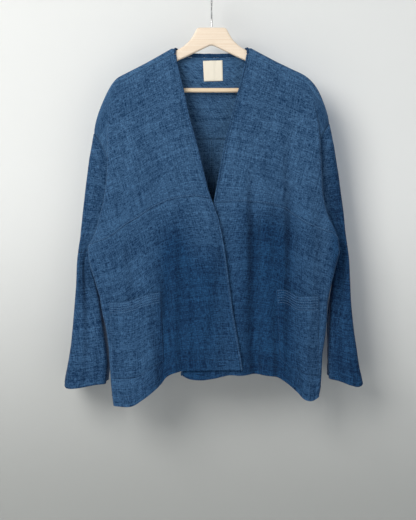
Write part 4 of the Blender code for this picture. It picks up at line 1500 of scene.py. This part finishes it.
@dataclass
class Front:
    """One front with its yoke seam, its hem, its patch pocket and the stitches on them."""

    drape: Drape
    name: str
    upper: Sewn
    lower: Sewn
    pocket_cut: Sewn
    rows: int
    spacing: float
    hem_depth: float = 24.0
    pocket_off: float = 0.8
    pocket_band: float = 25.0
    pocket_deep: float = 160.0

    def outwards(self) -> int:
        """Which way the front's grids face."""
        return -self.drape.side.sign

    def pocket_grid(self, lower: np.ndarray) -> np.ndarray:
        """The pocket, laid on the lower front.

        Args:
            lower: the lower front's grid.

        Returns:
            The pocket's grid, its edges turned down to the front.
        """
        s = self.drape.side
        faces, deep = grid_faces(lower, self.outwards()), self.pocket_deep
        tree = BVHTree.FromPolygons(lower.reshape(-1, 3).tolist(), faces)
        wide = abs(s.pocket_top[-1][0] - s.pocket_top[0][0])
        u, t = steps(wide, 0.8, 2.6, 5), steps(deep, 0.8, 2.8, 5)
        top, end = smooth(s.pocket_top, u), smooth(s.pocket_end, u)
        grid = np.zeros((len(t), len(u), 3))
        for i, k in enumerate(t):
            p = top + (end - top) * k
            for j, (x, z) in enumerate(p):
                hit = tree.ray_cast((x, -150.0, z), (0, 1, 0))[0]
                grid[i, j] = (x, hit[1] if hit else self.drape.front_y(x, z), z)
        below = t * deep
        rim = np.minimum(u * wide, (1 - u) * wide)[None, :]
        foot = ((1 - t) * deep)[:, None]
        held = np.minimum(ease(rim / 2.4), ease(foot / 2.4))
        slack = np.sin(np.pi * u)[None, :] ** 0.7 * np.exp(-(below / 26) ** 2)[:, None] * 2.4
        band = 0.7 * (1 - ease((below - self.pocket_band) / 1.6))[:, None] * held
        soft = BODY_RUMPLE.noise(grid[:, :, 0] / 16 + 60, grid[:, :, 2] / 22) * 0.5 * held
        grid[:, :, 1] -= 0.35 + self.pocket_off * held + slack + band + soft
        return grid

    def build(self, wardrobe: Wardrobe) -> None:
        """Makes the pieces and their stitches.

        Args:
            wardrobe: the finishes.
        """
        way = self.outwards()
        ridge = ((0, 0.25), (1.2, 0.5), (4.2, 0.45), (6.6, 0.0))
        upper = seam_relief(self.drape.front_upper(), way, "foot", ridge)
        lower = self.drape.front_lower()
        lower = seam_relief(lower, way, "top", ((0, -0.15), (1.6, -0.1), (4, 0)))
        lower = seam_relief(lower, way, "foot", hem_profile(self.hem_depth))
        top = Panel(f"front_{self.name}_upper", upper, way, Cotton.BODY, self.upper)
        foot = Panel(f"front_{self.name}_lower", lower, way, Cotton.BODY, self.lower)
        pocket = Panel(f"pocket_{self.name}", self.pocket_grid(lower), -way, Cotton.POCKETS,
                       self.pocket_cut, rests_on=(foot.name,), thick=0.8)
        built = [panel.build(wardrobe) for panel in (top, foot, pocket)]
        seam = sew(f"yoke_seam_stitches_{self.name}",
                   [StitchRow(*top.line(2.8, "foot"), radius=0.42)], Yarn.PALE, wardrobe)
        hem_row = sew(f"hem_stitches_{self.name}",
                      [StitchRow(*foot.line(self.hem_depth - 3, "foot", 0.02, 0.9))],
                      Yarn.DARK, wardrobe)
        rim = [StitchRow(*pocket.line(2.6, e)) for e in ("first", "last", "foot")]
        rim_row = sew(f"pocket_edge_stitches_{self.name}", rim, Yarn.MIDDLE, wardrobe)
        rows = [StitchRow(*pocket.line(3.0 + i * self.spacing, "top", 0.06, 0.94), radius=0.45)
                for i in range(self.rows)]
        fancy = sew(f"pocket_row_stitches_{self.name}", rows, Yarn.PALE, wardrobe)


@dataclass
class Back:
    """The back: its yoke over both shoulders and its two lower halves."""

    right: Drape
    left: Drape
    yoke_cut: Sewn
    lower_cut: tuple[Sewn, Sewn]
    hem_depth: float = 24.0
    allowance: float = 9.0

    def yoke_grid(self) -> np.ndarray:
        """The yoke's grid, with its seam folded upwards."""
        ridge = ((0, 0.1), (1.2, 0.5), (4.4, 0.5), (5.8, 0.0))
        return seam_relief(Yoke(self.right, self.left).grid(), 1, "foot", ridge)

    def build(self, wardrobe: Wardrobe) -> np.ndarray:
        """Makes the pieces and their stitches.

        Args:
            wardrobe: the finishes.

        Returns:
            The yoke's grid, which the neck band and the label are sewn to.
        """
        yoke = Panel("back_yoke", self.yoke_grid(), 1, Cotton.LINING_SIDE, self.yoke_cut)
        built = yoke.build(wardrobe)
        row = sew("yoke_seam_stitches_back", [StitchRow(*yoke.line(3.0, "foot"), radius=0.42)],
                  Yarn.PALE, wardrobe)
        self.inner_seam(yoke.grid, wardrobe)
        for drape, name, cut in ((self.right, "right", self.lower_cut[0]),
                                 (self.left, "left", self.lower_cut[1])):
            way = drape.side.sign
            grid = drape.back_lower()
            middle = ((0, -0.4), (1.5, -0.1), (3.0, 0.35), (8, 0.3), (9.5, 0))
            grid = seam_relief(grid, way, "first", middle)
            grid = seam_relief(grid, way, "top", ((0, -0.5), (1.6, -0.3), (4, 0)))
            grid = seam_relief(grid, way, "foot", hem_profile(self.hem_depth))
            panel = Panel(f"back_lower_{name}", grid, way, Cotton.LINING_SIDE, cut)
            piece = panel.build(wardrobe)
            rows = [StitchRow(*panel.line(self.hem_depth - 3, "foot", 0.02, 0.98))]
            sew(f"back_hem_stitches_{name}", rows, Yarn.DARK, wardrobe)
        return yoke.grid

    def inner_seam(self, yoke: np.ndarray, wardrobe: Wardrobe) -> bpy.types.Object:
        """The folded edge of the yoke's seam, inside the back where the neck shows it.

        Args:
            yoke: the yoke's grid.
            wardrobe: the finishes.

        Returns:
            A narrow strip of cloth.
        """
        columns = slice(yoke.shape[1] // 4, -(yoke.shape[1] // 4))
        g, n = yoke[:, columns], normals(yoke)[:, columns]
        run = np.cumsum(np.linalg.norm(np.diff(g[::-1], axis=0), axis=2), axis=0)
        rows = [np.argmin(np.abs(run - d), axis=0) for d in np.linspace(0.5, self.allowance, 6)]
        strip = []
        for k, r in enumerate(rows):
            i, c = len(yoke) - 2 - r, np.arange(g.shape[1])
            strip.append(g[i, c] - n[i, c] * (CLOTH_THICK + INSIDE_GAP - 0.1 * (k == 5)))
        grid = np.array(strip)
        piece = smooth_piece("yoke_seam_allowance", grid, grid_faces(grid, -1),
                             wardrobe.of(Cotton.LINING_SIDE), weave_layout(grid))
        thicken(piece, 0.5)
        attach(piece, "root")
        return piece


@dataclass
class Sleeve:
    """A sleeve: one piece round the arm, closed down its inner side, with a turned cuff."""

    drape: Drape
    name: str
    cut: Sewn
    cuff_depth: float = 32.0
    cuff_rows: int = 2

    def build(self, wardrobe: Wardrobe) -> None:
        """Makes the sleeve and the rows at its cuff.

        Args:
            wardrobe: the finishes.
        """
        way = self.drape.side.sign
        cuff = ((0, 0.5), (self.cuff_depth - 2, 0.5), (self.cuff_depth - 0.4, 0.7),
                (self.cuff_depth + 1, 0))
        grid = seam_relief(self.drape.sleeve(), way, "foot", cuff)
        panel = Panel(f"sleeve_{self.name}", grid, way, Cotton.SLEEVES, self.cut)
        piece = panel.build(wardrobe)
        rows = [StitchRow(*panel.line(self.cuff_depth - 3 + i * 6.0, "foot", 0.02, 0.98))
                for i in range(self.cuff_rows)]
        sew(f"cuff_stitches_{self.name}", rows, Yarn.MIDDLE, wardrobe)


@dataclass
class RolledBand:
    """A narrow rolled binding: a soft tube of bias cloth, slightly puckered by its stitches."""

    name: str
    path: np.ndarray
    side: np.ndarray
    wide: np.ndarray | float
    thick: float = 3.4
    around: int = 12
    pucker: float = 0.22
    every: float = 3.4
    spacing: float = 1.1
    finish: Cotton = Cotton.BINDING

    def build(self, wardrobe: Wardrobe) -> bpy.types.Object:
        """Makes the band.

        Args:
            wardrobe: the finishes.

        Returns:
            The band.
        """
        run = lengths(self.path)
        at = np.linspace(0, run[-1], int(run[-1] / self.spacing))
        path, side = (read_line(line, run, at) for line in (self.path, self.side))
        wide = np.interp(at, run, np.broadcast_to(self.wide, len(run)))
        along = unit(np.gradient(path, axis=0))
        side = unit(side - along * (side * along).sum(axis=1, keepdims=True))
        up = np.cross(along, side)
        a = np.arange(self.around) * 2 * np.pi / self.around
        dip = np.sin(at * 2 * np.pi / self.every) * self.pucker
        soft = BODY_RUMPLE.noise(at / 9, at * 0 + 4) * 0.25
        radius = 1 + (dip + soft)[:, None] / 2 * (0.6 + 0.4 * np.sin(a)[None, :])
        end = np.minimum(np.minimum(at, at[::-1]) / 1.5, 1) ** 0.5
        radius = radius * (0.35 + 0.65 * end)[:, None]
        points = (path[:, None]
                  + side[:, None] * (np.cos(a) * radius * wide[:, None] / 2)[:, :, None]
                  + up[:, None] * (np.sin(a) * radius * self.thick / 2)[:, :, None])
        rows, n = len(path), self.around
        turn = np.broadcast_to(np.arange(n)[None, :] * 1.0, (rows, n))
        lay = np.stack([turn, np.broadcast_to(at[:, None], (rows, n))], axis=-1).reshape(-1, 2)
        piece = smooth_piece(self.name + "_cloth", points, rod_faces(rows, n),
                             wardrobe.of(self.finish), lay)
        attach(piece, "root")
        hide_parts(self.name)
        log.info("%s: %d rings", self.name, rows)
        return piece


def edge_band(drape: Drape, name: str) -> RolledBand:
    """The binding of a front edge, from the shoulder seam to the hem.

    Args:
        drape: that side.
        name: the side's name.

    Returns:
        The band.
    """
    line = np.vstack([drape.front_upper()[:, 0], drape.front_lower()[1:, 0]])
    path = line + [-drape.side.sign * (BAND_WIDTH / 2 - 0.1), 0.4, 0]
    return RolledBand(f"edge_band_{name}", path, np.tile([1.0, 0, 0], (len(path), 1)),
                      BAND_WIDTH)


def neck_band(yoke: np.ndarray, edge: int) -> RolledBand:
    """The binding of the back neck, from one shoulder seam over the ridges to the other.

    Args:
        yoke: the yoke's grid.
        edge: how many of its columns lie beyond each neck point.

    Returns:
        The band.
    """
    near = slice(edge, yoke.shape[1] - edge)
    out, line = normals(yoke)[0, near], yoke[0, near]
    side = unit(np.cross(np.gradient(line, axis=0), out))
    wide = BAND_WIDTH + (8.4 - BAND_WIDTH) * ease((line[:, 1] + 2) / 11)
    path = line + side * (wide / 2)[:, None]
    return RolledBand("neck_band", path, side, wide, finish=Cotton.NECK_BINDING)


@dataclass(frozen=True)
class NeckLabel:
    """A plain woven label, sewn by hand round its edges to the inside of the yoke."""

    width: float = 40.0
    height: float = 42.0
    at: tuple[float, float] = (3.0, -162.0)
    cut: Sewn = Sewn(0.040, 0.042, 0.00168)

    def build(self, yoke: np.ndarray, wardrobe: Wardrobe) -> None:
        """Makes the label and its stitches.

        Args:
            yoke: the yoke's grid.
            wardrobe: the finishes.
        """
        u, t = steps(self.width, 0.6, 1.6, 3), steps(self.height, 0.6, 1.6, 3)
        tree = BVHTree.FromPolygons(yoke.reshape(-1, 3).tolist(), grid_faces(yoke, 1))
        grid = np.zeros((len(t), len(u), 3))
        for i, v in enumerate(t):
            for j, w in enumerate(u):
                x = self.at[0] + (w - 0.5) * self.width * (1 - 0.03 * v) + (v - 0.5) * 1.6
                z = self.at[1] + (0.5 - v) * self.height + (w - 0.5) * 1.2
                hits = [tree.ray_cast((x + d, -SHOULDER_Y, z), (0, 1, 0))[0] for d in (-5, 0, 5)]
                found = [h[1] for h in hits if h] or [12.0]
                rim = min(w, 1 - w) * self.width, min(v, 1 - v) * self.height
                puff = float(ease(min(rim) / 2.5))
                wave = 0.12 * math.sin(x * 0.33) * math.sin(z * 0.21) * puff
                y = min(found) - CLOTH_THICK - INSIDE_GAP - 0.6 * puff - wave
                grid[i, j] = (x, y, z)
        faces = grid_faces(grid, -1)
        piece = smooth_piece("label_tape", grid, faces, wardrobe.of(WovenTape()))
        thicken(piece, 0.5)
        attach(piece, "root")
        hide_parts("label")
        panel = Panel("label", grid, -1, Cotton.BODY, self.cut, rests_on=("back_yoke",))
        rows = [StitchRow(*panel.line(1.2, e), length=1.6, gap=1.1, radius=0.22)
                for e in ("top", "foot", "first", "last")]
        stitches = sew("label_stitches", rows, Yarn.UNDYED, wardrobe)
        log.info("label: %d faces", len(faces))


@dataclass
class Hanger:
    """The wooden hanger: arms cut from one board, a round bar, and a plated steel hook."""

    thick: float = 13.0
    rounding: float = 3.6
    bar_radius: float = 4.6
    bar_half: float = 191.0
    bar_z: float = -203.0
    wire_radius: float = 1.7
    crown_radius: float = 21.0
    outline_points: int = 420

    def wood(self) -> tuple[np.ndarray, list]:
        """The arms, rounded all round their edges.

        Returns:
            Points in mm and faces.
        """
        half = np.array(HANGER_OUTLINE, float)
        line = np.vstack([half, (half * [-1, 1])[-2:0:-1]])
        loop = np.vstack([line, line[:1]])
        run = lengths(loop)
        line = read_line(loop, run, np.linspace(0, run[-1], self.outline_points + 1)[:-1])
        for _ in range(3):
            line = (np.roll(line, 1, axis=0) + 2 * line + np.roll(line, -1, axis=0)) / 4
        along = np.roll(line, -1, axis=0) - np.roll(line, 1, axis=0)
        out = unit(np.column_stack([-along[:, 1], along[:, 0]]))
        a = np.linspace(-math.pi / 2, math.pi / 2, 13)
        r, h = self.rounding, self.thick / 2
        rings = [(-(h - r) + r * math.sin(v) if v < 0 else (h - r) + r * math.sin(v),
                  r * (1 - math.cos(v))) for v in a]
        n = len(line)
        points = [np.column_stack([(line - out * cut)[:, 0], np.full(n, y),
                                   (line - out * cut)[:, 1]]) for y, cut in rings]
        return np.vstack(points), rod_faces(len(rings), n)

    @staticmethod
    def tube(path: np.ndarray, radius: float, around: int) -> tuple[np.ndarray, list]:
        """A round rod along a path, with softened ends.

        Args:
            path: its middle line.
            radius: half its thickness.
            around: how many points round it.

        Returns:
            Points in mm and faces.
        """
        along = unit(np.gradient(path, axis=0))
        side = unit(np.cross(along, [0.0, 1.0, 0.0]))
        up = np.cross(side, along)
        a = np.arange(around) * 2 * math.pi / around
        end = np.ones(len(path))
        end[[0, -1]] = 0.7
        ring = (side[:, None] * np.cos(a)[None, :, None] + up[:, None]
                * np.sin(a)[None, :, None]) * end[:, None, None] * radius
        return (path[:, None] + ring).reshape(-1, 3), rod_faces(len(path), around)

    def wire(self) -> np.ndarray:
        """The hook's middle line."""
        r = self.crown_radius + self.wire_radius
        stem = [(0, -80), (0, -76), (0, -66), (1.5, -57), (8, -46), (16, -37)]
        angles = np.radians(np.linspace(-20, 195, 40))
        arc = [(r * math.cos(a), -self.crown_radius + r * math.sin(a)) for a in angles]
        line = np.array(stem + arc + [(-r - 1.6, -33), (-r - 4.5, -38)])
        line = smooth(line, np.linspace(0, 1, 120))
        return np.column_stack([0 * line[:, 0], line[:, 0], line[:, 1]])

    def build(self, wardrobe: Wardrobe) -> None:
        """Makes the three pieces.

        Args:
            wardrobe: the finishes.
        """
        x = np.concatenate([[-self.bar_half, -self.bar_half + 1], np.linspace(-180, 180, 30),
                            [self.bar_half - 1, self.bar_half]])
        bar = np.column_stack([x, 0 * x, 0 * x + self.bar_z])
        wood, rod = SandedBeech(), SandedBeech("sanded_beech_bar", "#F2DDBE", "#DDBB8C")
        for node, (points, faces), finish, slot in (
                ("hanger_wood", self.wood(), wood, "hanger_wood"),
                ("hanger_bar", self.tube(bar, self.bar_radius, 32), rod, "hanger_wood"),
                ("hanger_hook", self.tube(self.wire(), self.wire_radius, 16), DrawnSteel(),
                 "hook_wire")):
            piece = smooth_piece(node + "_shape", points, faces, wardrobe.of(finish))
            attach(piece, "root")
            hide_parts(node)
            log.info("%s: %d faces", node, len(faces))


@dataclass
class Studio:
    """A pale wall and floor, soft light from the upper left, and the photograph's view."""

    wall: tuple[float, float] = (5.0, 3.4)
    floor_z: float = -1.45
    target: tuple[float, float, float] = (-0.0074, 0.0, -0.551)
    distance: float = 2.6
    lens: float = 87.8

    def plane(self, name: str, corners: Table, wardrobe: Wardrobe, paint: StudioPaint) -> None:
        """Makes a flat part of the studio.

        Args:
            name: its name.
            corners: its four corners in metres.
            wardrobe: the finishes.
            paint: its finish.
        """
        mesh = bpy.data.meshes.new(name)
        mesh.from_pydata([tuple(c) for c in corners], [], [(0, 1, 2, 3)])
        mesh.materials.append(wardrobe.of(paint))
        piece = bpy.data.objects.new(name, mesh)
        bpy.context.collection.objects.link(piece)
        piece.visible_shadow = not paint.from_behind

    def light(self, name: str, at: tuple[float, float, float], power: float, size: float,
              colour: str) -> None:
        """Adds a square soft light that faces the haori.

        Args:
            name: its name.
            at: where it stands, in metres.
            power: in watts.
            size: its side, in metres.
            colour: its colour.
        """
        lamp = bpy.data.lights.new(name, "AREA")
        lamp.energy, lamp.size, lamp.color = power, size, linear(colour)[:3]
        piece = bpy.data.objects.new(name, lamp)
        piece.location = at
        aim = Vector(self.target) - Vector(at)
        piece.rotation_euler = aim.to_track_quat("-Z", "Y").to_euler()
        bpy.context.collection.objects.link(piece)

    def build(self, wardrobe: Wardrobe) -> None:
        """Makes the studio and the camera.

        Args:
            wardrobe: the finishes.
        """
        w, h, y, f = self.wall[0] / 2, self.wall[1] / 2, WALL_Y * MM, self.floor_z
        self.plane("studio_wall", [(-w, y, f), (w, y, f), (w, y, f + 2 * h),
                                   (-w, y, f + 2 * h)], wardrobe,
                   StudioPaint("matt_wall_paint"))
        self.plane("studio_floor", [(-w, -4, f), (w, -4, f), (w, y, f), (-w, y, f)],
                   wardrobe, StudioPaint("matt_floor_paint", "#E6E6E4", "#E6E6E4", False))
        self.light("window", (-1.7, -2.4, 0.9), 76.0, 1.8, "#FFFBF5")
        self.light("fill", (2.0, -2.6, -0.2), 11.0, 2.6, "#F3F6FF")
        self.light("behind", (0.4, 2.4, 0.4), 42.0, 2.4, "#FFFFFF")
        world = bpy.data.worlds.new("soft_room")
        world.use_nodes = True
        sky = world.node_tree.nodes["Background"]
        sky.inputs["Color"].default_value = linear("#F4F7FB")
        sky.inputs["Strength"].default_value = 0.34
        bpy.context.scene.world = world
        bpy.context.scene.view_settings.view_transform = "Standard"
        lens = bpy.data.cameras.new("view")
        lens.lens, lens.sensor_width = self.lens, 36.0
        camera = bpy.data.objects.new("view", lens)
        camera.location = (self.target[0], -self.distance, self.target[2])
        camera.rotation_euler = (math.pi / 2, 0.0, 0.0)
        bpy.context.collection.objects.link(camera)
        bpy.context.scene.camera = camera


def main() -> None:
    """Builds the garment, its hanger and the studio, in the order they are put together."""
    logging.basicConfig(level=logging.INFO)
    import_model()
    wardrobe = Wardrobe()
    right, left = Drape(RIGHT), Drape(LEFT)
    Hanger().build(wardrobe)
    Front(right, "right", Sewn(0.27, 0.36, 0.061), Sewn(0.33, 0.42, 0.106),
          Sewn(0.115, 0.17, 0.0165), 5, 4.6).build(wardrobe)
    Front(left, "left", Sewn(0.27, 0.36, 0.060), Sewn(0.33, 0.40, 0.102),
          Sewn(0.09, 0.17, 0.0135), 6, 5.0).build(wardrobe)
    back = Back(right, left, Sewn(0.62, 0.24, 0.089),
                (Sewn(0.27, 0.52, 0.113), Sewn(0.27, 0.51, 0.108)))
    yoke = back.build(wardrobe)
    for drape, name, area in ((right, "right", 0.080), (left, "left", 0.082)):
        Sleeve(drape, name, Sewn(0.22, 0.60, area)).build(wardrobe)
        edge_band(drape, name).build(wardrobe)
    frame = Yoke(right, left)
    neck_band(yoke, frame.flat + frame.turned).build(wardrobe)
    NeckLabel().build(yoke, wardrobe)
    Studio().build(wardrobe)


if __name__ == "__main__":
    main()
